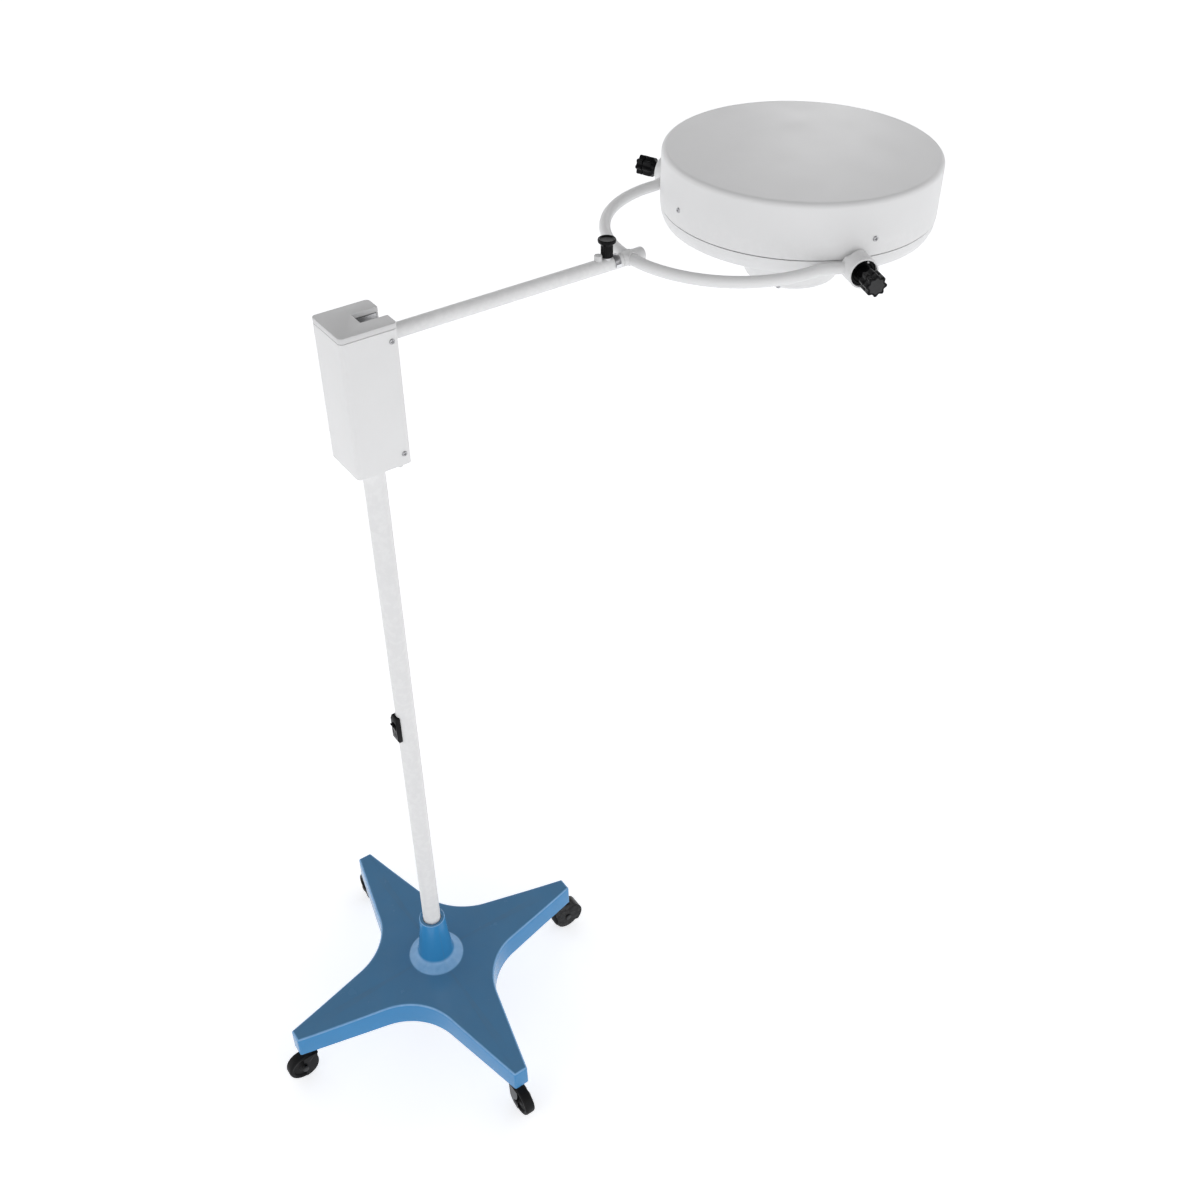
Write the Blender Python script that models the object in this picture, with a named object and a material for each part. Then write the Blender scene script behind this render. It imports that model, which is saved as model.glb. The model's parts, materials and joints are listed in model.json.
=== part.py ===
"""Mobile examination lamp: star base on castors, column, spring-balanced arm, yoke and round lamp head.

Metres, +Z up. The floor is z = 0. Positions are worked out from the column's axis (x = 0, y = 0 there), and
one empty, lamp_origin, carries everything so that the world origin is below the middle of the whole lamp.
The arm points along +X.
"""

import math

import bmesh
import bpy
from mathutils import Vector

GAP = 0.0003  # clearance between pieces that touch

# Driving dimensions
BASE_REACH = 0.354  # column axis to the end of a leg
LEG_TIP_HALF = 0.0165  # half the width of a leg's end
LEG_EDGE_SLOPE = 0.232  # how fast a leg widens towards the middle
HOLLOW_MIDDLE = 0.138  # column axis to the middle of the curve between two legs
BASE_BOTTOM = 0.0925
BASE_TIP_TOP = 0.147
BASE_RISE = 0.012  # the middle of the base stands this much higher than the leg ends
BASE_EDGE = 0.006  # rounding of the base's upper edge
BASE_WALL = 0.006
FLARE_R = 0.064  # where the socket's flare meets the plate
SOCKET_BORE = 0.0206
SOCKET_TOP = 0.291
COLUMN_R = 0.019
COLUMN_TOP = 1.540
SWITCH_Z = 0.892
HOUSING_BOTTOM = 1.498
HOUSING_TOP = 1.747
HOUSING_HALF_X = 0.0487
HOUSING_HALF_Y = 0.0473
SEAM_Z = 1.7374  # between the housing and its cap
HOUSING_WALL = 0.003
SLOT_HALF = 0.016
SLOT_BACK = 0.003
ARM_Z = 1.7074
ARM_R = 0.0125
ARM_END = 0.4958
HUB_END = 0.543
YOKE_TUBE_R = 0.0102
YOKE_BACK = 0.5140
YOKE_BEND_X = 0.7345
HEAD_X = 0.894
HEAD_R = 0.250
HEAD_TOP = 0.1060  # all head heights are from the arm's axis
HEAD_SEAM = 0.0081
HEAD_BOTTOM = -0.0198
BOSS_ANGLE = math.radians(109.75)  # from straight ahead, seen from above
TILT_RADIUS = 0.262  # head axis to where a clamp screw's axis crosses the tilt axis
PAD_FACE = 0.2431
PAD_R = 0.0165
HEAD_SIDES = 48
CASTOR_R = 0.328  # column axis to a castor's swivel axis
CASTOR_TRAIL = 0.023
HOOD_R = 0.0391
WHEEL_R = 0.035
CAM_R = 0.0245
ROD_X = -0.026  # the balance spring's axis, behind the pivot
WEB_DROP = 0.062  # from the arm's axis down to the web over the balance spring
SPRING_LENGTH = 0.064
PLUNGER_X = 0.4673
PILLAR_R = 0.062  # head axis to the pillars that carry the hub

TILT_X = HEAD_X + TILT_RADIUS * math.cos(BOSS_ANGLE)
YOKE_BEND_R = YOKE_BEND_X - YOKE_BACK
MIDDLE_X = (HEAD_X + HEAD_R - CASTOR_R - CASTOR_TRAIL - HOOD_R) / 2

for old in list(bpy.data.objects):
    bpy.data.objects.remove(old, do_unlink=True)


# ---------------------------------------------------------------- materials

def material(name, colour, roughness, metallic=0.0, transmission=0.0):
    made = bpy.data.materials.new(name)
    made.use_nodes = True
    shader = made.node_tree.nodes["Principled BSDF"]
    shader.inputs["Base Color"].default_value = (*colour, 1.0)
    shader.inputs["Roughness"].default_value = roughness
    shader.inputs["Metallic"].default_value = metallic
    shader.inputs["Transmission Weight"].default_value = transmission
    made.diffuse_color = (*colour, 1.0)
    return made


BLUE_PAINT = material("blue_paint", (0.07, 0.23, 0.45), 0.35)
WHITE_PAINT = material("white_paint", (0.86, 0.86, 0.86), 0.4)
WHITE_PLASTIC = material("white_plastic", (0.84, 0.84, 0.84), 0.45)
BLACK_PLASTIC = material("black_plastic", (0.02, 0.02, 0.02), 0.45)
BLACK_RUBBER = material("black_rubber", (0.025, 0.025, 0.025), 0.75)
STEEL = material("steel", (0.62, 0.62, 0.63), 0.3, 1.0)
CAST_IRON = material("cast_iron", (0.16, 0.16, 0.17), 0.6, 0.8)
CHROME = material("chrome", (0.8, 0.8, 0.82), 0.12, 1.0)
ALUMINIUM = material("aluminium", (0.85, 0.86, 0.87), 0.18, 1.0)
CERAMIC = material("ceramic", (0.82, 0.8, 0.75), 0.6)
GLASS = material("glass", (0.93, 0.96, 0.96), 0.05, 0.0, 0.9)


# ---------------------------------------------------------------- shapes

def mesh_object(name, bm, finish, parent=None, location=(0, 0, 0), smooth=35):
    """Turns bm into an object. Its location is counted from the column's axis at the floor."""
    bmesh.ops.recalc_face_normals(bm, faces=bm.faces)
    mesh = bpy.data.meshes.new(name)
    bm.to_mesh(mesh)
    bm.free()
    mesh.materials.append(finish)
    mesh.shade_smooth()
    mesh.set_sharp_from_angle(angle=math.radians(smooth))
    made = bpy.data.objects.new(name, mesh)
    bpy.context.scene.collection.objects.link(made)
    attach(made, parent, location)
    return made


def attach(made, parent, location):
    """Parents an object. Empties are never turned, so places only subtract."""
    if parent is None:
        made.location = location
        return
    made.parent = parent
    made.location = Vector(location) - Vector(parent["from_column"])


def axis_empty(name, parent, location):
    """An empty on a joint's axis, which the moving pieces hang on."""
    made = bpy.data.objects.new(name, None)
    made.empty_display_size = 0.03
    bpy.context.scene.collection.objects.link(made)
    attach(made, parent, location)
    made["from_column"] = location
    return made


def loft(rings, closed=False, start_pole=None, end_pole=None):
    """A skin over rings of equal point count. A pole closes an end; closed joins the last to the first."""
    bm = bmesh.new()
    rows = [[bm.verts.new(point) for point in ring] for ring in rings]
    count = len(rows[0])
    pairs = list(zip(rows, rows[1:]))
    if closed:
        pairs.append((rows[-1], rows[0]))
    for first, second in pairs:
        for i in range(count):
            j = (i + 1) % count
            bm.faces.new((first[i], first[j], second[j], second[i]))
    for pole, row in ((start_pole, rows[0]), (end_pole, rows[-1])):
        if pole is not None:
            tip = bm.verts.new(pole)
            for i in range(count):
                bm.faces.new((tip, row[i], row[(i + 1) % count]))
    return bm


def turned(profile, segments=32):
    """A body turned about local Z from (radius, height) points. Ends at radius 0 are closed on the axis."""
    inner = [point for point in profile if point[0] > 0]
    angles = [2 * math.pi * i / segments for i in range(segments)]
    rings = [[(r * math.cos(a), r * math.sin(a), z) for a in angles] for r, z in inner]
    start = (0, 0, profile[0][1]) if profile[0][0] == 0 else None
    end = (0, 0, profile[-1][1]) if profile[-1][0] == 0 else None
    return loft(rings, closed=start is None and end is None, start_pole=start, end_pole=end)


def arc(cx, cy, radius, start, end, steps):
    """Points on an arc, angles in degrees."""
    return [
        (cx + radius * math.cos(a), cy + radius * math.sin(a))
        for a in (math.radians(start + (end - start) * i / steps) for i in range(steps + 1))
    ]


def prism(outline, low, high):
    """An outline in the XY plane, extruded from low to high."""
    bm = bmesh.new()
    bottom = [bm.verts.new((x, y, low)) for x, y in outline]
    top = [bm.verts.new((x, y, high)) for x, y in outline]
    bm.faces.new(bottom)
    bm.faces.new(top)
    for i in range(len(outline)):
        j = (i + 1) % len(outline)
        bm.faces.new((bottom[i], bottom[j], top[j], top[i]))
    return bm


def box(low, high):
    corners = [(low[0], low[1]), (high[0], low[1]), (high[0], high[1]), (low[0], high[1])]
    return prism(corners, low[2], high[2])


def rounded_rectangle(half_x, half_y, radius, steps=4):
    corners = ((1, 1, 0), (-1, 1, 90), (-1, -1, 180), (1, -1, 270))
    points = []
    for sx, sy, start in corners:
        points += arc(sx * (half_x - radius), sy * (half_y - radius), radius, start, start + 90, steps)
    return points


def swept(path, radius, sides):
    """A round bar along a path that lies in a horizontal plane."""
    rings = []
    for i, point in enumerate(path):
        before = Vector(path[max(i - 1, 0)])
        after = Vector(path[min(i + 1, len(path) - 1)])
        along = (after - before).normalized()
        side = Vector((along.y, -along.x, 0)).normalized()
        up = side.cross(along)
        ring = []
        for k in range(sides):
            a = 2 * math.pi * k / sides
            ring.append(Vector(point) + radius * (math.cos(a) * side + math.sin(a) * up))
        rings.append(ring)
    return loft(rings, start_pole=path[0], end_pole=path[-1])


def coil(radius, wire, low, high, turns, per_turn, sides):
    """A compression spring about local Z."""
    rings = []
    steps = turns * per_turn
    for i in range(steps + 1):
        a = 2 * math.pi * i / per_turn
        z = low + wire + (high - low - 2 * wire) * i / steps
        centre = Vector((radius * math.cos(a), radius * math.sin(a), z))
        outward = Vector((math.cos(a), math.sin(a), 0))
        ring = []
        for k in range(sides):
            b = 2 * math.pi * k / sides
            ring.append(centre + wire * (math.cos(b) * outward + math.sin(b) * Vector((0, 0, 1))))
        rings.append(ring)
    ends = [sum(ring, Vector()) / sides for ring in (rings[0], rings[-1])]
    return loft(rings, start_pole=ends[0], end_pole=ends[1])


def tool(name, bm, rotation=(0, 0, 0), location=(0, 0, 0)):
    """A hidden body for a Boolean. Its place is counted from the column's axis."""
    made = mesh_object(name, bm, STEEL, LAMP, location)
    made.rotation_euler = rotation
    made.hide_render = True
    made.display_type = "WIRE"
    return made


def boolean(target, other, operation="DIFFERENCE"):
    modifier = target.modifiers.new(operation.lower(), "BOOLEAN")
    modifier.operation = operation
    modifier.solver = "EXACT"
    modifier.object = other


def bevelled(made, width, segments=2, angle=40):
    modifier = made.modifiers.new("edge", "BEVEL")
    modifier.width = width
    modifier.segments = segments
    modifier.limit_method = "ANGLE"
    modifier.angle_limit = math.radians(angle)


ALONG_X = (0, math.pi / 2, 0)  # turns local Z to +X
ALONG_MINUS_Y = (math.pi / 2, 0, 0)  # turns local Z to -Y
ALONG_PLUS_Y = (-math.pi / 2, 0, 0)  # turns local Z to +Y

LAMP = axis_empty("lamp_origin", None, (0, 0, 0))
LAMP.location = (-MIDDLE_X, 0, 0)


# ---------------------------------------------------------------- base

def leg_outline(reach, tip_half, inset):
    """The star's outline, counter-clockwise, from one leg's right tip corner round all four legs."""
    crossing = (tip_half + LEG_EDGE_SLOPE * reach) / (1 + LEG_EDGE_SLOPE)
    edge_angle = math.atan(LEG_EDGE_SLOPE)
    half_angle = math.pi / 4 + edge_angle
    curve_r = (HOLLOW_MIDDLE - crossing * math.sqrt(2)) / (1 / math.sin(half_angle) - 1)
    centre = crossing + curve_r / math.sin(half_angle) / math.sqrt(2)
    corner = 0.003
    start = 270 - math.degrees(edge_angle)
    end = 180 + math.degrees(edge_angle)
    curve = arc(centre, centre, curve_r, start, end, 6)
    first, last = curve[0], curve[-1]
    quarter = [(reach, -tip_half + corner), (reach, tip_half - corner), (reach - corner, tip_half)]
    quarter.append(((reach + first[0]) / 2, (tip_half + first[1]) / 2))
    quarter += curve
    quarter.append(((last[0] + tip_half) / 2, (last[1] + reach) / 2))
    quarter.append((tip_half, reach - corner))
    points = []
    for turn in range(4):
        c, s = math.cos(turn * math.pi / 2), math.sin(turn * math.pi / 2)
        points += [Vector((x * c - y * s, x * s + y * c)) for x, y in quarter]
    if inset == 0:
        return points
    moved = []
    for i, point in enumerate(points):
        before = (point - points[i - 1]).normalized()
        after = (points[(i + 1) % len(points)] - point).normalized()
        out = Vector((before.y + after.y, -before.x - after.x)).normalized()
        moved.append(point - out * inset / max(0.5, out.dot(Vector((before.y, -before.x)))))
    return moved


def base_height(radius):
    """Height of the base's top face at this distance from the column."""
    share = min(1.0, radius / BASE_REACH)
    return BASE_TIP_TOP + BASE_RISE * (1 - share * share * (3 - 2 * share))


def base_casting():
    """A hollow star with a skirt, a rounded upper edge and a flared socket for the column."""
    edge = BASE_EDGE
    outer = leg_outline(BASE_REACH, LEG_TIP_HALF, 0)
    rings = [[(p.x, p.y, BASE_BOTTOM) for p in leg_outline(BASE_REACH, LEG_TIP_HALF, -0.001)]]
    for inset, drop in ((0, edge), (edge * 0.3, edge * 0.3), (edge, 0)):
        ring = leg_outline(BASE_REACH, LEG_TIP_HALF, inset)
        rings.append([(p.x, p.y, base_height(p.length) - drop) for p in ring])
    rim = leg_outline(BASE_REACH, LEG_TIP_HALF, edge)
    for share in (0.6, 0.3, 0.0):
        ring = []
        for p in rim:
            q = p.normalized() * (FLARE_R + (p.length - FLARE_R) * share)
            ring.append((q.x, q.y, base_height(q.length)))
        rings.append(ring)
    plate = base_height(FLARE_R)
    socket = [
        (0.0595, plate + 0.0030), (0.0500, plate + 0.0078), (0.0430, plate + 0.0115),
        (0.0388, plate + 0.0215), (0.0280, SOCKET_TOP - 0.001), (0.0270, SOCKET_TOP),
        (SOCKET_BORE, SOCKET_TOP), (SOCKET_BORE, BASE_BOTTOM + 0.0135),
        (0.0440, BASE_BOTTOM + 0.0135), (0.0460, BASE_TIP_TOP),
    ]
    directions = [p.normalized() for p in outer]
    for r, z in socket:
        rings.append([(d.x * r, d.y * r, z) for d in directions])
    hollow = leg_outline(0.305, 0.0200, BASE_WALL)
    rings.append([(p.x * 0.97, p.y * 0.97, BASE_TIP_TOP - 0.007) for p in hollow])
    rings.append([(p.x, p.y, BASE_BOTTOM) for p in hollow])
    base = mesh_object("base_casting", loft(rings, closed=True), BLUE_PAINT, LAMP)
    for x, y in castor_places():
        hole = turned([(0, 0.130), (0.0058, 0.130), (0.0058, 0.08), (0, 0.08)], 16)
        boolean(base, tool("stem_hole", hole, (0, 0, 0), (x, y, 0)))


def castor_places():
    return [(CASTOR_R, 0), (0, CASTOR_R), (-CASTOR_R, 0), (0, -CASTOR_R)]


def base_inside():
    low = BASE_BOTTOM + 0.012
    ring = [(0.124, low), (0.124, low + 0.030), (0.0475, low + 0.030), (0.0475, low)]
    mesh_object("ballast_weight", turned(ring, 24), CAST_IRON, LAMP)
    nut_low = BASE_BOTTOM + 0.0025
    nut_high = BASE_BOTTOM + 0.0135 - GAP
    hexagon = arc(0, 0, 0.030, 0, 300, 5)
    nut = mesh_object("column_foot_nut", prism(hexagon, nut_low, nut_high), STEEL, LAMP)
    snug = COLUMN_R + GAP
    boolean(nut, tool("nut_bore", turned([(0, 0), (snug, 0), (snug, 0.2), (0, 0.2)], 32)))
    outside, low, high = SOCKET_BORE - GAP, SOCKET_TOP - 0.045, SOCKET_TOP - 0.003
    bush = [(outside, low), (outside, high), (snug, high), (snug, low)]
    mesh_object("column_bush", turned(bush, 24), BLACK_RUBBER, LAMP)
    gland = [
        (0.0167, BASE_BOTTOM + 0.016), (0.0167, BASE_BOTTOM + 0.0012), (0.0185, BASE_BOTTOM + 0.0012),
        (0.0185, BASE_BOTTOM - 0.002), (0.0125, BASE_BOTTOM - 0.002), (0.0120, BASE_BOTTOM - 0.010),
        (0.0085, BASE_BOTTOM - 0.015), (0.0045, BASE_BOTTOM - 0.015), (0.0045, BASE_BOTTOM + 0.016),
    ]
    mesh_object("cable_gland", turned(gland[::-1], 16), BLACK_PLASTIC, LAMP)


# ---------------------------------------------------------------- castors

def castor_fork_mesh():
    """Top plate, hood and cheeks, before the wheel's space is cut. The wheel trails to +X."""
    trail, axle_z = CASTOR_TRAIL, WHEEL_R
    side = [(-0.020, 0.0755), (-0.020, 0.0835), (0.022, 0.0835)]
    side += arc(trail, axle_z, HOOD_R, 66, -44, 10)
    side += arc(trail, axle_z, 0.0320, -52, -160, 9)
    side += [(-0.010, 0.062)]
    bm = prism([(x, z) for x, z in side], -0.0155, 0.0155)
    for vert in bm.verts:
        vert.co = Vector((vert.co.x, -vert.co.z, vert.co.y))
    return bm


def turned_about(bm, centre, quarter):
    """Turns a mesh about the vertical through centre by quarter turns."""
    turn = quarter * math.pi / 2
    c, s = math.cos(turn), math.sin(turn)
    for vert in bm.verts:
        x, y = vert.co.x - centre[0], vert.co.y - centre[1]
        vert.co.x = centre[0] + x * c - y * s
        vert.co.y = centre[1] + x * s + y * c
    return bm


def castors():
    """One castor under each leg's end, all trailing outward."""
    names = ("front", "left", "rear", "right")
    for quarter, (name, place) in enumerate(zip(names, castor_places())):
        stem = [
            (0, 0.124), (0.0050, 0.124), (0.0055, 0.1235), (0.0055, BASE_BOTTOM - GAP),
            (0.0155, BASE_BOTTOM - GAP), (0.0155, 0.0885), (0.0130, 0.0840 + GAP), (0, 0.0840 + GAP),
        ]
        mesh_object("castor_stem_" + name, turned(stem, 12), STEEL, LAMP, (*place, 0))
        swivel = axis_empty("castor_swivel_" + name, LAMP, (*place, 0))
        fork_mesh = turned_about(castor_fork_mesh(), (0, 0), quarter)
        fork = mesh_object("castor_fork_" + name, fork_mesh, BLACK_PLASTIC, swivel, (*place, 0))
        turn = quarter * math.pi / 2
        along = (math.cos(turn), math.sin(turn))
        hub = (place[0] + along[0] * CASTOR_TRAIL, place[1] + along[1] * CASTOR_TRAIL, WHEEL_R)
        across = (math.pi / 2, 0, turn)
        space = turned([(0, -0.0125), (0.0372, -0.0125), (0.0372, 0.0125), (0, 0.0125)], 24)
        boolean(fork, tool("wheel_space_" + name, space, across, hub))
        below = box((-0.030, -0.0125, -0.01), (CASTOR_TRAIL, 0.0125, WHEEL_R + 0.030))
        below = turned_about(below, (0, 0), quarter)
        boolean(fork, tool("fork_opening_" + name, below, (0, 0, 0), (*place, 0)))
        hole = turned([(0, -0.03), (0.0043, -0.03), (0.0043, 0.03), (0, 0.03)], 12)
        boolean(fork, tool("axle_hole_" + name, hole, across, hub))
        axle_profile = [
            (0, -0.0185), (0.0072, -0.0185), (0.0072, -0.0155 - GAP), (0.0040, -0.0155 - GAP),
            (0.0040, 0.0155 + GAP), (0.0072, 0.0155 + GAP), (0.0072, 0.0185), (0, 0.0185),
        ]
        axle = mesh_object("castor_axle_" + name, turned(axle_profile, 12), STEEL, swivel, hub)
        axle.rotation_euler = across
        spin = axis_empty("castor_spin_" + name, swivel, hub)
        wheel_profile = [
            (0.0043, -0.0092), (0.0285, -0.0092), (0.0300, -0.0115), (0.0350, -0.0085),
            (0.0350, 0.0085), (0.0300, 0.0115), (0.0285, 0.0092), (0.0043, 0.0092),
        ]
        wheel = mesh_object("castor_wheel_" + name, turned(wheel_profile, 20), BLACK_RUBBER, spin, hub)
        wheel.rotation_euler = across


# ---------------------------------------------------------------- column and switch

def column():
    bore = COLUMN_R - 0.002
    low = BASE_BOTTOM + 0.0015
    wall = [(COLUMN_R, low), (COLUMN_R, COLUMN_TOP), (bore, COLUMN_TOP), (bore, low)]
    tube = mesh_object("column_tube", turned(wall, 28), WHITE_PAINT, LAMP)
    opening = box((-0.03, -0.0090, SWITCH_Z - 0.0200), (-0.008, 0.0090, SWITCH_Z + 0.0200))
    boolean(tube, tool("switch_opening", opening))
    plug = [
        (0, COLUMN_TOP + 0.0033), (0.0187, COLUMN_TOP + 0.0033), (0.0187, COLUMN_TOP + GAP),
        (bore - GAP, COLUMN_TOP + GAP), (bore - GAP, COLUMN_TOP - 0.030), (0.012, COLUMN_TOP - 0.030),
        (0.012, COLUMN_TOP - 0.004), (0, COLUMN_TOP - 0.004),
    ]
    mesh_object("column_plug", turned(plug, 24), STEEL, LAMP)


def switch():
    """A rocker switch on the side of the column that faces away from the arm."""
    half_z, half_y, front = 0.031, 0.0100, -0.0272
    outline = [
        (-0.0135, -half_y), (-0.0135, half_y), (front + 0.003, half_y), (front, half_y - 0.003),
        (front, -half_y + 0.003), (front + 0.003, -half_y),
    ]
    shape = prism(outline, SWITCH_Z - half_z, SWITCH_Z + half_z)
    for vert in shape.verts:
        if vert.co.x < front + 0.001:
            vert.co.z = SWITCH_Z + (vert.co.z - SWITCH_Z) * 0.87
    bezel = mesh_object("switch_bezel", shape, BLACK_PLASTIC, LAMP)
    around = turned([(0, 0.7), (COLUMN_R + GAP, 0.7), (COLUMN_R + GAP, 1.0), (0, 1.0)], 36)
    boolean(bezel, tool("column_clearance", around))
    body = box((-0.0235, -0.0087, SWITCH_Z - 0.0197), (-0.0100, 0.0087, SWITCH_Z + 0.0197))
    boolean(bezel, tool("switch_body", body), "UNION")
    well = box((-0.04, -0.0070, SWITCH_Z - 0.0165), (-0.0150, 0.0070, SWITCH_Z + 0.0165))
    boolean(bezel, tool("rocker_well", well))
    pivot = (-0.0225, 0, SWITCH_Z)
    rock = axis_empty("switch_rock", LAMP, pivot)
    face = [
        (-0.0072, 0.0150), (-0.0048, 0), (-0.0072, -0.0150), (0.0010, -0.0150), (0.0040, -0.0060),
        (0.0040, 0.0060), (0.0010, 0.0150),
    ]
    lean = math.radians(-9)
    c, s = math.cos(lean), math.sin(lean)
    bm = prism([(x * c + z * s, z * c - x * s) for x, z in face], -0.0065, 0.0065)
    for vert in bm.verts:
        vert.co = Vector((vert.co.x, -vert.co.z, vert.co.y))
    rocker = mesh_object("switch_rocker", bm, BLACK_PLASTIC, rock, pivot)
    bevelled(rocker, 0.0006, 1)


# ---------------------------------------------------------------- spring housing on the column

def housing(swivel):
    wall = HOUSING_WALL
    outline = rounded_rectangle(HOUSING_HALF_X, HOUSING_HALF_Y, 0.0075)
    shell = mesh_object("housing_shell", prism(outline, HOUSING_BOTTOM, SEAM_Z - GAP), WHITE_PAINT, swivel)
    inside = rounded_rectangle(HOUSING_HALF_X - wall, HOUSING_HALF_Y - wall, 0.0045)
    boolean(shell, tool("housing_inside", prism(inside, HOUSING_BOTTOM + wall, HOUSING_TOP + 0.01)))
    slot_low = ARM_Z - 0.075
    slot = box((0.02, -SLOT_HALF, slot_low), (0.07, SLOT_HALF, HOUSING_TOP + 0.01))
    boolean(shell, tool("housing_slot", slot))
    hole = turned([(0, 1.4), (0.0203, 1.4), (0.0203, 1.52), (0, 1.52)], 36)
    boolean(shell, tool("column_hole", hole))
    cap = mesh_object("housing_cap", prism(outline, SEAM_Z + GAP, HOUSING_TOP), WHITE_PLASTIC, swivel)
    boolean(cap, tool("cap_slot", box((SLOT_BACK, -SLOT_HALF, 1.7), (0.07, SLOT_HALF, 1.8))))
    bevelled(cap, 0.0010, 2, 60)
    sleeve_low = HOUSING_BOTTOM + wall + GAP
    sleeve_top = COLUMN_TOP + 0.0036
    sleeve = [
        (0, sleeve_top + 0.005), (0.0245, sleeve_top + 0.005), (0.0245, sleeve_low + 0.003),
        (0.0380, sleeve_low + 0.003), (0.0380, sleeve_low), (0.0194, sleeve_low), (0.0194, sleeve_top),
        (0, sleeve_top),
    ]
    mesh_object("swivel_sleeve", turned(sleeve, 24), STEEL, swivel)
    top, bottom = HOUSING_BOTTOM - GAP, HOUSING_BOTTOM - 0.010
    stop = [(0, top), (0.0048, top), (0.0048, bottom + 0.002), (0.0036, bottom), (0, bottom)]
    mesh_object("swivel_stop", turned(stop, 20), WHITE_PLASTIC, swivel, (0.0330, -0.0330, 0))


def pivot_bracket(swivel):
    """Two cheeks that line the slot, joined by the web that the balance spring pushes against."""
    inner, outer = SLOT_HALF + GAP, SLOT_HALF + 0.0043
    front = HOUSING_HALF_X - HOUSING_WALL - GAP
    low, high = ARM_Z - WEB_DROP, SEAM_Z - 0.0006
    bm = box((-0.036, -outer, low), (front, outer, high))
    bracket = mesh_object("pivot_bracket", bm, STEEL, swivel)
    boolean(bracket, tool("bracket_inside", box((-0.05, -inner, low + 0.005), (0.06, inner, high + 0.01))))
    boolean(bracket, tool("bracket_front", box((-0.004, -inner, low - 0.01), (0.06, inner, high + 0.01))))
    hole = turned([(0, -0.04), (0.0053, -0.04), (0.0053, 0.04), (0, 0.04)], 24)
    boolean(bracket, tool("pin_hole", hole, ALONG_PLUS_Y, (0, 0, ARM_Z)))
    rod_hole = turned([(0, 1.6), (0.0046, 1.6), (0.0046, 1.7), (0, 1.7)], 20)
    boolean(bracket, tool("rod_hole", rod_hole, (0, 0, 0), (ROD_X, 0, 0)))
    head = outer + GAP
    pin = [
        (0, -head - 0.003), (0.0072, -head - 0.003), (0.0080, -head - 0.002), (0.0080, -head),
        (0.0050, -head), (0.0050, head), (0.0080, head), (0.0080, head + 0.002),
        (0.0072, head + 0.003), (0, head + 0.003),
    ]
    made = mesh_object("pivot_pin", turned(pin, 14), STEEL, swivel, (0, 0, ARM_Z))
    made.rotation_euler = ALONG_PLUS_Y


def balance(swivel):
    """The spring that carries the arm: a rod pulled up by the cam squeezes it against the bracket's web."""
    web = ARM_Z - WEB_DROP
    length = SPRING_LENGTH
    spring = coil(0.0082, 0.0013, web - GAP - length, web - GAP, 5, 9, 5)
    mesh_object("balance_spring", spring, STEEL, swivel, (ROD_X, 0, 0))
    draw = axis_empty("rod_slide", swivel, (ROD_X, 0, web))
    rod_low, rod_high = web - length - 0.0110, ARM_Z - 0.032
    rod = [(0, rod_low), (0.0033, rod_low), (0.0040, rod_low + 0.001), (0.0040, rod_high), (0, rod_high)]
    made = mesh_object("draw_rod", turned(rod, 16), STEEL, draw, (ROD_X, 0, 0))
    strap = box((-0.0010, -0.006, rod_high - 0.0035), (0.0010, 0.006, ARM_Z + 0.004))
    boolean(made, tool("draw_strap", strap, (0, 0, 0), (ROD_X, 0, 0)), "UNION")
    nut_high = web - length - 2 * GAP
    washer, nut_low = nut_high - 0.0015, nut_high - 0.007
    nut = [
        (0.0043, nut_high), (0.0105, nut_high), (0.0105, washer), (0.0075, washer), (0.0075, nut_low),
        (0.0043, nut_low),
    ]
    mesh_object("spring_nut", turned(nut[::-1], 12), STEEL, draw, (ROD_X, 0, 0))


# ---------------------------------------------------------------- arm

def arm(tilt):
    start = CAM_R + 0.0025
    bore = ARM_R - 0.002
    wall = [(ARM_R, start), (ARM_R, ARM_END), (bore, ARM_END), (bore, start)]
    tube = mesh_object("arm_tube", turned(wall, 24), WHITE_PAINT, tilt, (0, 0, ARM_Z))
    tube.rotation_euler = ALONG_X
    passage = turned([(0, 0), (0.0036, 0), (0.0036, 0.03), (0, 0.03)], 16)
    boolean(tube, tool("pin_passage", passage, (0, 0, 0), (PLUNGER_X, 0, ARM_Z)))
    disc = [(0.0053, -0.0120), (CAM_R, -0.0120), (CAM_R, 0.0120), (0.0053, 0.0120)]
    cam = mesh_object("arm_cam", turned(disc, 28), STEEL, tilt, (0, 0, ARM_Z))
    cam.rotation_euler = ALONG_PLUS_Y
    neck = turned([(0, 0.0150), (bore - GAP, 0.0150), (bore - GAP, 0.075), (0, 0.075)], 16)
    boolean(cam, tool("cam_neck", neck, ALONG_X, (0, 0, ARM_Z)), "UNION")
    clear = turned([(0, 0), (ARM_R + GAP, 0), (ARM_R + GAP, 0.6), (0, 0.6)], 32)
    around = tool("arm_clearance", clear, ALONG_X, (0, 0, ARM_Z))
    stud = [(0, 0.004), (0.0069, 0.004), (0.0069, 0.0202), (0.0061, 0.0215), (0, 0.0215)]
    made = mesh_object("stop_stud", turned(stud[::-1], 20), WHITE_PLASTIC, tilt, (0.4494, 0, ARM_Z))
    boolean(made, around)
    joint_clip(tilt)
    plunger(tilt, around)


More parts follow.
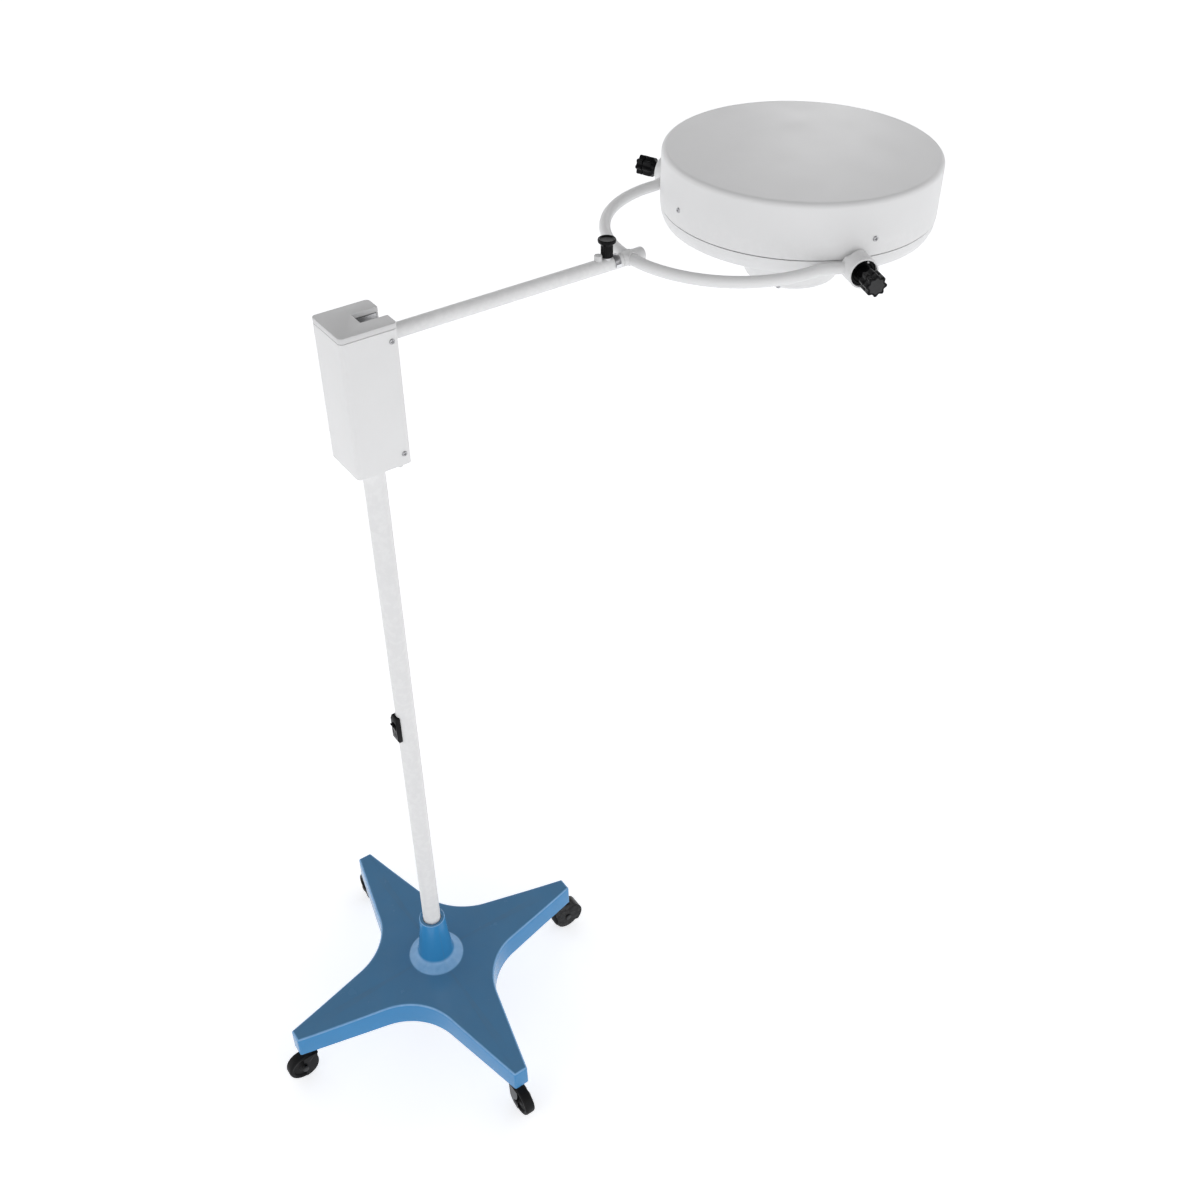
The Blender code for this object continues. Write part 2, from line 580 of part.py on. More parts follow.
def joint_clip(tilt):
    """A sprung metal band over the arm, with a folded tab on its right side."""
    inner, outer, half = ARM_R + GAP, ARM_R + 0.0012, 0.0058
    bm = bmesh.new()
    rows = []
    for i in range(17):
        a = math.radians(-14 + 208 * i / 16)
        row = []
        for r, x in ((inner, -half), (outer, -half), (outer, half), (inner, half)):
            row.append(bm.verts.new((x, -r * math.cos(a), r * math.sin(a))))
        rows.append(row)
    for first, second in zip(rows, rows[1:]):
        for k in range(4):
            bm.faces.new((first[k], first[(k + 1) % 4], second[(k + 1) % 4], second[k]))
    bm.faces.new(rows[0])
    bm.faces.new(rows[-1])
    clip = mesh_object("joint_clip", bm, CHROME, tilt, (0.4826, 0, ARM_Z))
    tab = box((-0.0050, -outer - 0.0022, -0.0034), (0.0050, -inner - 0.0002, 0.0022))
    boolean(clip, tool("clip_tab", tab, (0, 0, 0), (0.4826, 0, ARM_Z)), "UNION")


def plunger(tilt, around):
    """The pull knob whose pin runs in the yoke spindle's groove."""
    x = PLUNGER_X
    ferrule = [(0.0034, 0.004), (0.0034, 0.0240), (0.0078, 0.0240), (0.0084, 0.0230), (0.0084, 0.004)]
    made = mesh_object("lock_ferrule", turned(ferrule, 16), STEEL, tilt, (x, 0, ARM_Z))
    boolean(made, around)
    slide = axis_empty("lock_slide", tilt, (x, 0, ARM_Z))
    flutes = 12
    profile = [
        (0.0033, 0.0390, 0), (0.0033, 0.0310, 0), (0.0088, 0.0310, 0), (0.0088, 0.0142, 0),
        (0.0098, 0.0142, 0), (0.0100, 0.0150, 0.0004), (0.0100, 0.0345, 0.0004), (0.0110, 0.0372, 0),
        (0.0150, 0.0400, 0), (0.0157, 0.0418, 0), (0.0157, 0.0448, 0), (0.0145, 0.0464, 0),
        (0.0118, 0.0448, 0),
    ]
    count = flutes * 2
    rings = []
    for r, z, depth in profile:
        ring = []
        for i in range(count):
            a = 2 * math.pi * i / count
            wave = r + depth * math.cos(flutes * a)
            ring.append((wave * math.cos(a), wave * math.sin(a), z))
        rings.append(ring)
    knob = loft(rings, start_pole=(0, 0, 0.0390), end_pole=(0, 0, 0.0440))
    mesh_object("lock_knob", knob, BLACK_PLASTIC, slide, (x, 0, ARM_Z))
    pin = [(0, 0.0385), (0.0030, 0.0385), (0.0030, 0.0070), (0.0022, 0.0064), (0, 0.0064)]
    mesh_object("lock_pin", turned(pin, 16), STEEL, slide, (x, 0, ARM_Z))


# ---------------------------------------------------------------- yoke

def radial_place(distance, side):
    """A point on a clamp screw's axis, this far from the head's axis. side is +1 left, -1 right."""
    return (HEAD_X + distance * math.cos(BOSS_ANGLE), side * distance * math.sin(BOSS_ANGLE), ARM_Z)


def radial_turn(side):
    """Turns local Z outward along a clamp screw's axis."""
    return (0, math.pi / 2, side * BOSS_ANGLE)


def yoke_path():
    """From the right boss round behind the head to the left boss."""
    bend = arc(YOKE_BEND_X, 0, YOKE_BEND_R, 270, 90, 18)
    end_x, end_y, _ = radial_place(0.2700, 1)
    run = end_x - YOKE_BEND_X
    rise = end_y - YOKE_BEND_R
    tail = []
    for share in (0.25, 0.5, 0.75, 1.0):
        tail.append((YOKE_BEND_X + run * share, YOKE_BEND_R + rise * share**1.6))
    right = [(x, -y) for x, y in tail[::-1]]
    return [(x, y, ARM_Z) for x, y in right + bend + tail]


def yoke(roll):
    frame = mesh_object("yoke_frame", swept(yoke_path(), YOKE_TUBE_R, 12), WHITE_PAINT, roll)
    start = ARM_END + 2 * GAP
    hub = [(0, start), (ARM_R, start), (ARM_R, HUB_END - 0.003), (ARM_R - 0.003, HUB_END), (0, HUB_END)]
    boolean(frame, tool("yoke_hub", turned(hub, 32), ALONG_X, (0, 0, ARM_Z)), "UNION")
    reach = PAD_FACE + GAP
    pads = box((TILT_X - PAD_R - 0.0006, -reach, ARM_Z - 0.05), (0.90, reach, ARM_Z + 0.05))
    square = tool("pad_clearance", pads)
    drum = box((0.755, -0.2345, ARM_Z - 0.05), (TILT_X, 0.2345, ARM_Z + 0.05))
    inner = tool("drum_sweep", drum)
    for side, name in ((1, "left"), (-1, "right")):
        boss = turned([(0, 0.236), (0.0265, 0.236), (0.0265, 0.2915), (0.0250, 0.2930), (0, 0.2930)], 28)
        block = tool("boss_" + name, boss, radial_turn(side), (HEAD_X, 0, ARM_Z))
        boolean(block, inner)
        boolean(frame, block, "UNION")
    boolean(frame, square)
    for side, name in ((1, "left"), (-1, "right")):
        recess = turned([(0, 0.2810), (0.0234, 0.2810), (0.0234, 0.31), (0, 0.31)], 28)
        boolean(frame, tool("recess_" + name, recess, radial_turn(side), (HEAD_X, 0, ARM_Z)))
        screw = turned([(0, 0.268), (0.0046, 0.268), (0.0046, 0.30), (0, 0.30)], 16)
        boolean(frame, tool("screw_hole_" + name, screw, radial_turn(side), (HEAD_X, 0, ARM_Z)))
        journal = turned([(0, 0.20), (0.0103, 0.20), (0.0103, 0.2620), (0, 0.2620)], 24)
        across = (-side * math.pi / 2, 0, 0)
        boolean(frame, tool("journal_hole_" + name, journal, across, (TILT_X, 0, ARM_Z)))
    bore = turned([(0, 0.48), (0.0098, 0.48), (0.0098, HUB_END - 0.006), (0, HUB_END - 0.006)], 24)
    boolean(frame, tool("spindle_hole", bore, ALONG_X, (0, 0, ARM_Z)))
    spindle = [
        (0, 0.4050), (0.0085, 0.4050), (0.0095, 0.4065), (0.0095, PLUNGER_X - 0.0045),
        (0.0058, PLUNGER_X - 0.0045), (0.0058, PLUNGER_X + 0.0045), (0.0095, PLUNGER_X + 0.0045),
        (0.0095, HUB_END - 0.0063), (0, HUB_END - 0.0063),
    ]
    made = mesh_object("yoke_spindle", turned(spindle, 16), STEEL, roll, (0, 0, ARM_Z))
    made.rotation_euler = ALONG_X
    for side, name in ((1, "left"), (-1, "right")):
        collar = [
            (0.0050, 0.2813), (0.0231, 0.2813), (0.0231, 0.2868), (0.0212, 0.2878), (0.0175, 0.2878),
            (0.0150, 0.2848), (0.0050, 0.2848),
        ]
        place = (HEAD_X, 0, ARM_Z)
        ring = mesh_object("knob_collar_" + name, turned(collar, 24), BLACK_PLASTIC, roll, place)
        ring.rotation_euler = radial_turn(side)


def clamp_knobs(roll):
    """Star knobs whose screws brake the head's journals."""
    lobes, per_lobe = 8, 4
    count = lobes * per_lobe
    profile = [
        (0.0164, 0.0018, 0.3420), (0.0171, 0.0020, 0.3406), (0.0171, 0.0020, 0.3130),
        (0.0158, 0.0013, 0.3095), (0.0120, 0.0, 0.3060), (0.0118, 0.0, 0.2880), (0.0044, 0.0, 0.2880),
        (0.0044, 0.0, 0.3010),
    ]
    for side, name in ((1, "left"), (-1, "right")):
        rings = []
        for r, depth, z in profile:
            ring = []
            for i in range(count):
                a = 2 * math.pi * i / count
                wave = r + depth * math.cos(lobes * a)
                ring.append((wave * math.cos(a), wave * math.sin(a), z))
            rings.append(ring)
        turn = axis_empty("knob_turn_" + name, roll, (HEAD_X, 0, ARM_Z))
        star = loft(rings, start_pole=(0, 0, 0.3420), end_pole=(0, 0, 0.3010))
        knob = mesh_object("clamp_knob_" + name, star, BLACK_PLASTIC, turn, (HEAD_X, 0, ARM_Z))
        knob.rotation_euler = radial_turn(side)
        stud = [(0, 0.2803), (0.0034, 0.2803), (0.0040, 0.2809), (0.0040, 0.3005), (0, 0.3005)]
        screw = mesh_object("clamp_screw_" + name, turned(stud, 16), STEEL, turn, (HEAD_X, 0, ARM_Z))
        screw.rotation_euler = radial_turn(side)


# ---------------------------------------------------------------- head

def head_shell(tilt):
    place = (HEAD_X, 0, ARM_Z)
    skin, corner = 0.0015, 0.0100
    centre = (HEAD_R - corner, HEAD_TOP - corner)
    outside = [(0, HEAD_TOP)] + arc(*centre, corner, 90, 0, 4) + [(HEAD_R, HEAD_SEAM)]
    inside = [(HEAD_R - skin, HEAD_SEAM)] + arc(*centre, corner - skin, 0, 90, 2) + [(0, HEAD_TOP - skin)]
    mesh_object("head_cover", turned(outside + inside, HEAD_SIDES), WHITE_PAINT, tilt, place)
    top = HEAD_SEAM - 0.0007
    bezel = [
        (0.2492, top), (0.2480, -0.0060), (0.2414, HEAD_BOTTOM), (0.2310, HEAD_BOTTOM),
        (0.2310, -0.0172), (0.2400, -0.0172), (0.2450, -0.0060), (0.2464, top),
    ]
    mesh_object("bezel_ring", turned(bezel, HEAD_SIDES), WHITE_PAINT, tilt, place)
    pane = [(0.0985, -0.0169), (0.2370, -0.0169), (0.2370, -0.0129), (0.0985, -0.0129)]
    mesh_object("front_glass", turned(pane, 32), GLASS, tilt, place)


def reflector_height(radius):
    return 0.0720 - 0.0800 * (radius / 0.2330) ** 2


def head_inside(tilt):
    place = (HEAD_X, 0, ARM_Z)
    radii = [0.0740 + (0.2330 - 0.0740) * i / 3 for i in range(4)]
    lower = [(r, reflector_height(r)) for r in radii]
    upper = [(r, reflector_height(r) + 0.0016) for r in radii[::-1]]
    rim = [(0.2400, -0.0085), (0.2400, -0.0069)]
    mesh_object("reflector", turned(lower + rim + upper, 32), ALUMINIUM, tilt, place)
    hub = [
        (0.1030, -0.0126), (0.1030, -0.0100), (0.0260, -0.0100), (0.0260, -0.0125), (0.0920, -0.0125),
        (0.0945, -0.0200), (0.0855, -0.1120), (0.0835, -0.1120), (0.0840, -0.1170), (0.0885, -0.1170),
        (0.1010, -0.0195), (0.0990, -0.0173), (0.0980, -0.0173), (0.0980, -0.0126),
    ]
    housing_mesh = mesh_object("hub_housing", turned(hub, 24), WHITE_PAINT, tilt, place)
    for k in range(3):
        a = math.radians(30 + 120 * k)
        top = HEAD_TOP - 0.0018
        post = turned([(0, -0.0115), (0.0030, -0.0115), (0.0030, top), (0, top)], 12)
        spot = (HEAD_X + PILLAR_R * math.cos(a), PILLAR_R * math.sin(a), ARM_Z)
        boolean(housing_mesh, tool("hub_pillar_%d" % (k + 1), post, (0, 0, 0), spot), "UNION")
    cap = [
        (0, -0.1285), (0.0680, -0.1285), (0.0770, -0.1274), (0.0836, -0.1248), (0.0872, -0.1210),
        (0.0882, -0.1174), (0.0836, -0.1174), (0.0828, -0.1206), (0.0768, -0.1242), (0.0680, -0.1258),
        (0, -0.1262),
    ]
    mesh_object("hub_cap", turned(cap, 24), WHITE_PAINT, tilt, place)
    holder = [
        (0, -0.0480), (0.0140, -0.0480), (0.0160, -0.0460), (0.0160, -0.0130), (0.0250, -0.0130),
        (0.0250, -0.0095), (0.0320, -0.0095), (0.0320, -0.0060), (0.0120, -0.0060), (0.0100, 0.0020),
        (0, 0.0020),
    ]
    mesh_object("lamp_holder", turned(holder, 16), CERAMIC, tilt, place)
    bulb = [
        (0, 0.0023), (0.0060, 0.0023), (0.0072, 0.0035), (0.0072, 0.0080), (0.0062, 0.0100),
        (0.0068, 0.0130), (0.0068, 0.0300), (0.0050, 0.0345), (0.0015, 0.0380), (0, 0.0390),
    ]
    mesh_object("bulb", turned(bulb, 14), GLASS, tilt, place)
    tube = [(0.0400, -0.0097), (0.0430, -0.0097), (0.0430, 0.0600), (0.0400, 0.0600)]
    mesh_object("filter_glass", turned(tube, 20), GLASS, tilt, place)


def trunnions(tilt):
    """The pads on the head's side with the journals that turn in the yoke's bosses."""
    clear = turned([(0, -0.06), (HEAD_R + GAP, -0.06), (HEAD_R + GAP, 0.12), (0, 0.12)], HEAD_SIDES)
    drum = tool("drum_clearance", clear, (0, 0, 0), (HEAD_X, 0, ARM_Z))
    for side, name in ((1, "left"), (-1, "right")):
        profile = [
            (0, 0.2150), (PAD_R, 0.2150), (PAD_R, PAD_FACE - 0.0006), (PAD_R - 0.0006, PAD_FACE),
            (0.0100, PAD_FACE), (0.0100, 0.2608), (0.0092, 0.2616), (0, 0.2616),
        ]
        made = mesh_object("trunnion_" + name, turned(profile, 24), WHITE_PAINT, tilt, (TILT_X, 0, ARM_Z))
        made.rotation_euler = (-side * math.pi / 2, 0, 0)
        boolean(made, drum)


def build():
    base_casting()
    base_inside()
    castors()
    column()
    switch()
    swivel = axis_empty("housing_swivel", LAMP, (0, 0, HOUSING_BOTTOM))
    housing(swivel)
    pivot_bracket(swivel)
    balance(swivel)
    tilt = axis_empty("arm_tilt", swivel, (0, 0, ARM_Z))
    arm(tilt)
    roll = axis_empty("yoke_roll", tilt, (ARM_END, 0, ARM_Z))
    yoke(roll)
    clamp_knobs(roll)
    head = axis_empty("head_tilt", roll, (TILT_X, 0, ARM_Z))
    head_shell(head)
    head_inside(head)
    trunnions(head)


build()
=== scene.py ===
"""Looks for the mobile examination lamp: fine pieces, finishes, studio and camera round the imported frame."""

import json
import math

import bmesh
import bpy
from mathutils import Matrix, Vector


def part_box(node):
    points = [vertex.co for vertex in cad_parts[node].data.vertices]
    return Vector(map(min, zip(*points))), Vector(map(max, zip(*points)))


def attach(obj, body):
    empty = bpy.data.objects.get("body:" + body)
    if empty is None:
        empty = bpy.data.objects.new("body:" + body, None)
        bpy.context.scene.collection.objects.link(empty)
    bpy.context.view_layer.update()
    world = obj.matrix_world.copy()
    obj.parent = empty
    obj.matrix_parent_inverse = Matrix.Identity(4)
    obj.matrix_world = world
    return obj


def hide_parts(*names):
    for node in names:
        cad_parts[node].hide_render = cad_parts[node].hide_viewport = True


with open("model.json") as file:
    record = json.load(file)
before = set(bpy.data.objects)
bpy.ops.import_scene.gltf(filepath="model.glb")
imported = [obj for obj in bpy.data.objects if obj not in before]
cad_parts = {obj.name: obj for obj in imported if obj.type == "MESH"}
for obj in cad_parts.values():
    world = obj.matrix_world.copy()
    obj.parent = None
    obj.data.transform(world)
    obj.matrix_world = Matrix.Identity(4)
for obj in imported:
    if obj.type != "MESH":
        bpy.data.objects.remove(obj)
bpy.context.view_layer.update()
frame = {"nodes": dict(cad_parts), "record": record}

TAU = 2 * math.pi
GAP = 0.0003


def middle(node):
    low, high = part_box(node)
    return (low + high) / 2


# Places and sizes that everything is worked out from
COLUMN = Vector((middle("column_tube").x, 0, 0))
COLUMN_R = (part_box("column_tube")[1].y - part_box("column_tube")[0].y) / 2
ARM_Z = middle("arm_tube").z
ARM_R = (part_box("arm_tube")[1].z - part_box("arm_tube")[0].z) / 2
ARM_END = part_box("arm_tube")[1].x
HEAD = Vector((middle("head_cover").x, 0, ARM_Z))
HEAD_R = (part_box("head_cover")[1].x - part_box("head_cover")[0].x) / 2
HEAD_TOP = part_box("head_cover")[1].z - ARM_Z
HEAD_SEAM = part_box("head_cover")[0].z - ARM_Z
HEAD_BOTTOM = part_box("bezel_ring")[0].z - ARM_Z
TILT_X = middle("trunnion_left").x
BASE_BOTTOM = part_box("base_casting")[0].z
SOCKET_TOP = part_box("base_casting")[1].z
BASE_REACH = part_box("base_casting")[1].y - 0.001
HOUSING_LOW, HOUSING_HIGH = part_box("housing_shell")[0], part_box("housing_cap")[1]
SEAM_Z = (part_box("housing_shell")[1].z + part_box("housing_cap")[0].z) / 2
BOSS_ANGLE = math.radians(109.75)  # from straight ahead to a clamp screw's axis
YOKE_BACK = COLUMN.x + 0.5140  # middle of the yoke's tube where it crosses the arm's axis
YOKE_BEND_X = COLUMN.x + 0.7345  # centre of the yoke's half circle
PAD_FACE, PAD_R = 0.2431, 0.0165  # the head's pads: half their spacing, and radius
BUSH_BORE = 0.0203
CASTOR_REACH = 0.328  # column axis to a castor's swivel axis
CASTOR_TRAIL = 0.023
WHEEL_R = 0.035
HOOD_R, CHEEK_R, HOOD_HALF = 0.0391, 0.0320, 0.0155
WHEEL_ROOM_R, WHEEL_ROOM_HALF = 0.0372, 0.0125
AXLE_BORE_R = 0.0043
LEG_TIP_HALF = 0.0165
BASE_EDGE = 0.006
FLARE_R = 0.064  # where the socket's flare meets the plate
SEAM_HALF = 0.00035  # half the gap between housing and lid
SIDES = ((1, "left"), (-1, "right"))
LYING = Matrix.Rotation(math.pi / 2, 4, "X")


# ---------------------------------------------------------------- finishes


class Finish:
    """A node tree being built round one Principled shader."""

    def __init__(self, name, colour, roughness, metallic=0.0):
        self.material = bpy.data.materials.new(name)
        self.material.use_nodes = True
        self.tree = self.material.node_tree
        self.shader = self.tree.nodes["Principled BSDF"]
        self.shader.inputs["Metallic"].default_value = metallic
        self.shader.inputs["Roughness"].default_value = roughness
        self.shader.inputs["Base Color"].default_value = (*colour, 1)
        self.material.diffuse_color = (*colour, 1)
        self.colour = (*colour, 1)
        self.place = self.add("ShaderNodeTexCoord").outputs["Object"]

    def add(self, kind, **values):
        node = self.tree.nodes.new(kind)
        for key, value in values.items():
            node.inputs[key.replace("_", " ")].default_value = value
        return node

    def link(self, source, target):
        self.tree.links.new(source, target)

    def noise(self, scale, detail=3.0, rough=0.55, place=None):
        node = self.add("ShaderNodeTexNoise", Scale=scale, Detail=detail, Roughness=rough)
        self.link(place or self.place, node.inputs["Vector"])
        return node.outputs["Fac"]

    def spread(self, value, low, high, start=0.3, end=0.7):
        """value from start..end mapped to low..high."""
        node = self.tree.nodes.new("ShaderNodeMapRange")
        node.inputs["From Min"].default_value = start
        node.inputs["From Max"].default_value = end
        node.inputs["To Min"].default_value = low
        node.inputs["To Max"].default_value = high
        self.link(value, node.inputs["Value"])
        return node.outputs["Result"]

    def mix(self, amount, first, second):
        node = self.tree.nodes.new("ShaderNodeMix")
        node.data_type = "RGBA"
        for socket, value in ((node.inputs[0], amount), (node.inputs[6], first), (node.inputs[7], second)):
            if hasattr(value, "is_linked"):
                self.link(value, socket)
            else:
                socket.default_value = value
        return node.outputs[2]

    def times(self, first, second, operation="MULTIPLY"):
        """first and second joined by a sum; a product unless operation says otherwise."""
        node = self.tree.nodes.new("ShaderNodeMath")
        node.operation = operation
        for socket, value in zip(node.inputs, (first, second)):
            if hasattr(value, "is_linked"):
                self.link(value, socket)
            else:
                socket.default_value = value
        return node.outputs[0]

    def mottled(self, amount, scale):
        """The base colour made slightly lighter and darker in soft patches."""
        dark = tuple(c * (1 - amount) for c in self.colour[:3]) + (1,)
        light = tuple(min(1, c * (1 + amount)) for c in self.colour[:3]) + (1,)
        return self.mix(self.spread(self.noise(scale), 0, 1), dark, light)

    def geometry(self, output):
        return self.tree.nodes.new("ShaderNodeNewGeometry").outputs[output]

    def edges(self):
        """1 on convex edges, 0 elsewhere."""
        return self.spread(self.geometry("Pointiness"), 0, 1, 0.53, 0.62)

    def corners(self):
        """1 in concave corners, 0 elsewhere."""
        return self.spread(self.geometry("Pointiness"), 0, 1, 0.48, 0.40)

    def worn(self, colour, worn_colour, amount):
        """Wear that breaks up along convex edges."""
        broken = self.spread(self.noise(90, 5), 0, amount, 0.45, 0.62)
        return self.mix(self.times(self.edges(), broken), colour, worn_colour)

    def facing_up(self):
        """1 on faces that look straight up, 0 on upright ones, below 0 on undersides."""
        split = self.tree.nodes.new("ShaderNodeSeparateXYZ")
        self.link(self.geometry("Normal"), split.inputs[0])
        return split.outputs[2]

    def turning_lines(self, scale, rough, along=True):
        """Fine rings round local Z, as a lathe leaves; along makes them change with height too."""
        split = self.tree.nodes.new("ShaderNodeSeparateXYZ")
        self.link(self.place, split.inputs[0])
        x, y, z = split.outputs
        across = self.times(self.times(x, x), self.times(y, y), "ADD")
        join = self.tree.nodes.new("ShaderNodeCombineXYZ")
        self.link(self.times(across, 0.5, "POWER"), join.inputs[0])
        if along:
            self.link(z, join.inputs[1])
        return self.noise(scale, 2, rough, join.outputs[0])

    def settled_dust(self, colour, dust, amount):
        """A thin film on the faces that look up."""
        film = self.spread(self.facing_up(), 0, amount, 0.80, 0.97)
        patchy = self.spread(self.noise(25, 4), 0.85, 1.0)
        return self.mix(self.times(film, patchy), colour, dust)

    def painted_edge_highlight(self, colour, lighter, amount):
        """Painted highlight: a lighter colour on the rounded upper edges, where the normal leans between up
        and sideways.
        """
        up = self.facing_up()
        band = self.times(self.spread(up, 0, amount, 0.25, 0.55), self.spread(up, 1, 0, 0.80, 0.96))
        patchy = self.spread(self.noise(60, 4), 0.75, 1.0)
        return self.mix(self.times(band, patchy), colour, lighter)

    def dusty(self, colour, dust, amount):
        """Dust that gathers in corners."""
        patchy = self.spread(self.noise(40, 4), amount * 0.3, amount)
        return self.mix(self.times(self.corners(), patchy), colour, dust)

    def paint(self, colour):
        self.link(colour, self.shader.inputs["Base Color"])

    def gloss(self, low, high, scale):
        patches = self.noise(scale, 4)
        self.link(self.spread(patches, low, high), self.shader.inputs["Roughness"])

    def bump(self, height, distance, strength=1.0):
        node = self.add("ShaderNodeBump", Strength=strength, Distance=distance)
        self.link(height, node.inputs["Height"])
        self.link(node.outputs["Normal"], self.shader.inputs["Normal"])

    def set(self, **values):
        for key, value in values.items():
            self.shader.inputs[key.replace("_", " ")].default_value = value
        return self.material


def powder_coat(name, colour, roughness, dust=0.25):
    """Baked powder paint: a fine orange peel, faint patches and a little dust in the corners."""
    made = Finish(name, colour, roughness)
    base = made.mottled(0.012, 9)
    base = made.dusty(base, (0.42, 0.41, 0.39, 1), dust)
    made.paint(made.worn(base, (0.93, 0.93, 0.92, 1), 0.35))
    made.gloss(roughness - 0.02, roughness + 0.03, 14)
    peel = made.noise(950, 2)
    wide = made.noise(220, 2)
    made.bump(made.times(peel, wide, "ADD"), 0.00004, 0.6)
    return made.set(Specular_IOR_Level=0.40)


def enamel(name, colour):
    """Thick glossy enamel on a casting."""
    made = Finish(name, colour, 0.26)
    base = made.mottled(0.04, 12)
    base = made.dusty(base, (0.10, 0.16, 0.22, 1), 0.25)
    base = made.settled_dust(base, (0.19, 0.185, 0.13, 1), 0.30)
    # Painted highlight: the rounded upper edges and the socket's bead get a lighter blue that stands in for
    # the glints of the lights.
    made.paint(made.painted_edge_highlight(base, (0.36, 0.60, 0.90, 1), 0.60))
    made.gloss(0.18, 0.28, 18)
    cast = made.noise(70, 3)
    peel = made.noise(420, 2)
    made.bump(made.times(cast, peel, "ADD"), 0.00005, 0.4)
    return made.set(Specular_IOR_Level=0.22, Coat_Weight=0.22, Coat_Roughness=0.10)


def moulded(name, colour, roughness):
    """Moulded plastic with a spark-eroded grain."""
    made = Finish(name, colour, roughness)
    base = made.mottled(0.10, 60)
    base = made.dusty(base, (0.012, 0.0115, 0.011, 1), 0.30)
    made.paint(made.worn(base, (0.035, 0.035, 0.035, 1), 0.6))
    made.gloss(roughness - 0.07, roughness + 0.09, 50)
    made.bump(made.noise(1400, 2), 0.00002, 0.5)
    return made.set(Specular_IOR_Level=0.11)


def white_moulded(name, colour):
    """White moulded plastic with a fine grain."""
    made = Finish(name, colour, 0.42)
    made.paint(made.dusty(made.mottled(0.015, 20), (0.45, 0.44, 0.42, 1), 0.25))
    made.gloss(0.36, 0.48, 25)
    made.bump(made.noise(1500, 2), 0.00003, 0.6)
    return made.material


def tyre(name):
    """Hard rubber with floor dust on its tread."""
    made = Finish(name, (0.010, 0.010, 0.0105), 0.45)
    scuffed = made.spread(made.noise(130, 6, 0.7), 0, 0.5, 0.5, 0.75)
    made.paint(made.mix(scuffed, made.mottled(0.2, 40), (0.020, 0.0195, 0.019, 1)))
    made.gloss(0.36, 0.62, 60)
    made.bump(made.noise(700, 4), 0.00006, 0.7)
    return made.set(Specular_IOR_Level=0.10)


def turned_steel(name, colour, roughness):
    """Turned or plated steel: fine rings round local Z and faint stains."""
    made = Finish(name, colour, roughness, 1.0)
    lines = made.turning_lines(1600, 0.6)
    stain = made.spread(made.noise(70, 4), 0, 0.35, 0.5, 0.8)
    made.paint(made.mix(stain, made.colour, tuple(c * 0.6 for c in colour) + (1,)))
    made.link(made.spread(lines, roughness - 0.08, roughness + 0.12), made.shader.inputs["Roughness"])
    made.bump(lines, 0.00003, 0.5)
    return made.set(Anisotropic=0.35)


def plating(name):
    """Bright chrome with the faintest haze."""
    made = Finish(name, (0.78, 0.79, 0.81), 0.12, 1.0)
    made.paint(made.mottled(0.05, 80))
    made.gloss(0.07, 0.20, 160)
    made.bump(made.noise(500, 2), 0.00001, 0.5)
    return made.material


def iron(name):
    """Raw cast iron with a rough skin."""
    made = Finish(name, (0.14, 0.14, 0.15), 0.62, 0.7)
    made.paint(made.mottled(0.3, 60))
    made.gloss(0.5, 0.75, 90)
    made.bump(made.noise(350, 5, 0.7), 0.0003, 0.9)
    return made.material


def spun_aluminium(name):
    """Spun reflector metal: fine rings round local Z."""
    made = Finish(name, (0.86, 0.87, 0.88), 0.16, 1.0)
    rings = made.turning_lines(900, 0.5, along=False)
    made.paint(made.mottled(0.02, 12))
    made.link(made.spread(rings, 0.10, 0.24), made.shader.inputs["Roughness"])
    made.bump(rings, 0.00004, 0.6)
    return made.material


def ceramic(name):
    """Unglazed lamp ceramic."""
    made = Finish(name, (0.80, 0.78, 0.72), 0.55)
    made.paint(made.dusty(made.mottled(0.05, 70), (0.4, 0.37, 0.32, 1), 0.5))
    made.gloss(0.45, 0.65, 80)
    made.bump(made.noise(800, 4), 0.00008, 0.7)
    return made.material


def glass(name, tint, roughness):
    """Clear glass with faint smears."""
    made = Finish(name, tint, roughness)
    smears = made.noise(16, 5, 0.65)
    made.link(made.spread(smears, roughness, roughness + 0.06, 0.45, 0.75), made.shader.inputs["Roughness"])
    made.bump(made.noise(30, 2), 0.00002, 0.3)
    return made.set(Transmission_Weight=1.0, IOR=1.47)


LOOKS = {
    "blue_paint": enamel("blue_enamel", (0.036, 0.226, 0.485)),
    "white_paint": powder_coat("white_powder_coat", (0.71, 0.71, 0.71), 0.40),
    "white_plastic": white_moulded("white_moulding", (0.60, 0.60, 0.60)),
    "black_plastic": moulded("black_moulding", (0.0035, 0.0035, 0.004), 0.20),
    "black_rubber": tyre("hard_rubber"),
    "steel": turned_steel("zinc_plated_steel", (0.60, 0.60, 0.61), 0.30),
    "cast_iron": iron("raw_cast_iron"),
    "chrome": plating("bright_chrome"),
    "aluminium": spun_aluminium("spun_aluminium"),
    "ceramic": ceramic("lamp_ceramic"),
    "glass": glass("clear_glass", (0.96, 0.98, 0.98), 0.02),
}
GREY_FACE = moulded("worn_moulding", (0.045, 0.045, 0.046), 0.42)
SPRUNG_STEEL = turned_steel("sprung_steel", (0.33, 0.33, 0.34), 0.28)
SCREW_STEEL = turned_steel("plated_screw_steel", (0.42, 0.42, 0.43), 0.16)


# ---------------------------------------------------------------- shapes


def skin(rings, closed=False, start_pole=None, end_pole=None):
    """A surface over rings of equal point count."""
    bm = bmesh.new()
    rows = [[bm.verts.new(point) for point in ring] for ring in rings]
    count = len(rows[0])
    pairs = list(zip(rows, rows[1:]))
    if closed:
        pairs.append((rows[-1], rows[0]))
    for first, second in pairs:
        for i in range(count):
            j = (i + 1) % count
            bm.faces.new((first[i], first[j], second[j], second[i]))
    for pole, row in ((start_pole, rows[0]), (end_pole, rows[-1])):
        if pole is not None:
            tip = bm.verts.new(pole)
            for i in range(count):
                bm.faces.new((tip, row[i], row[(i + 1) % count]))
    return bm


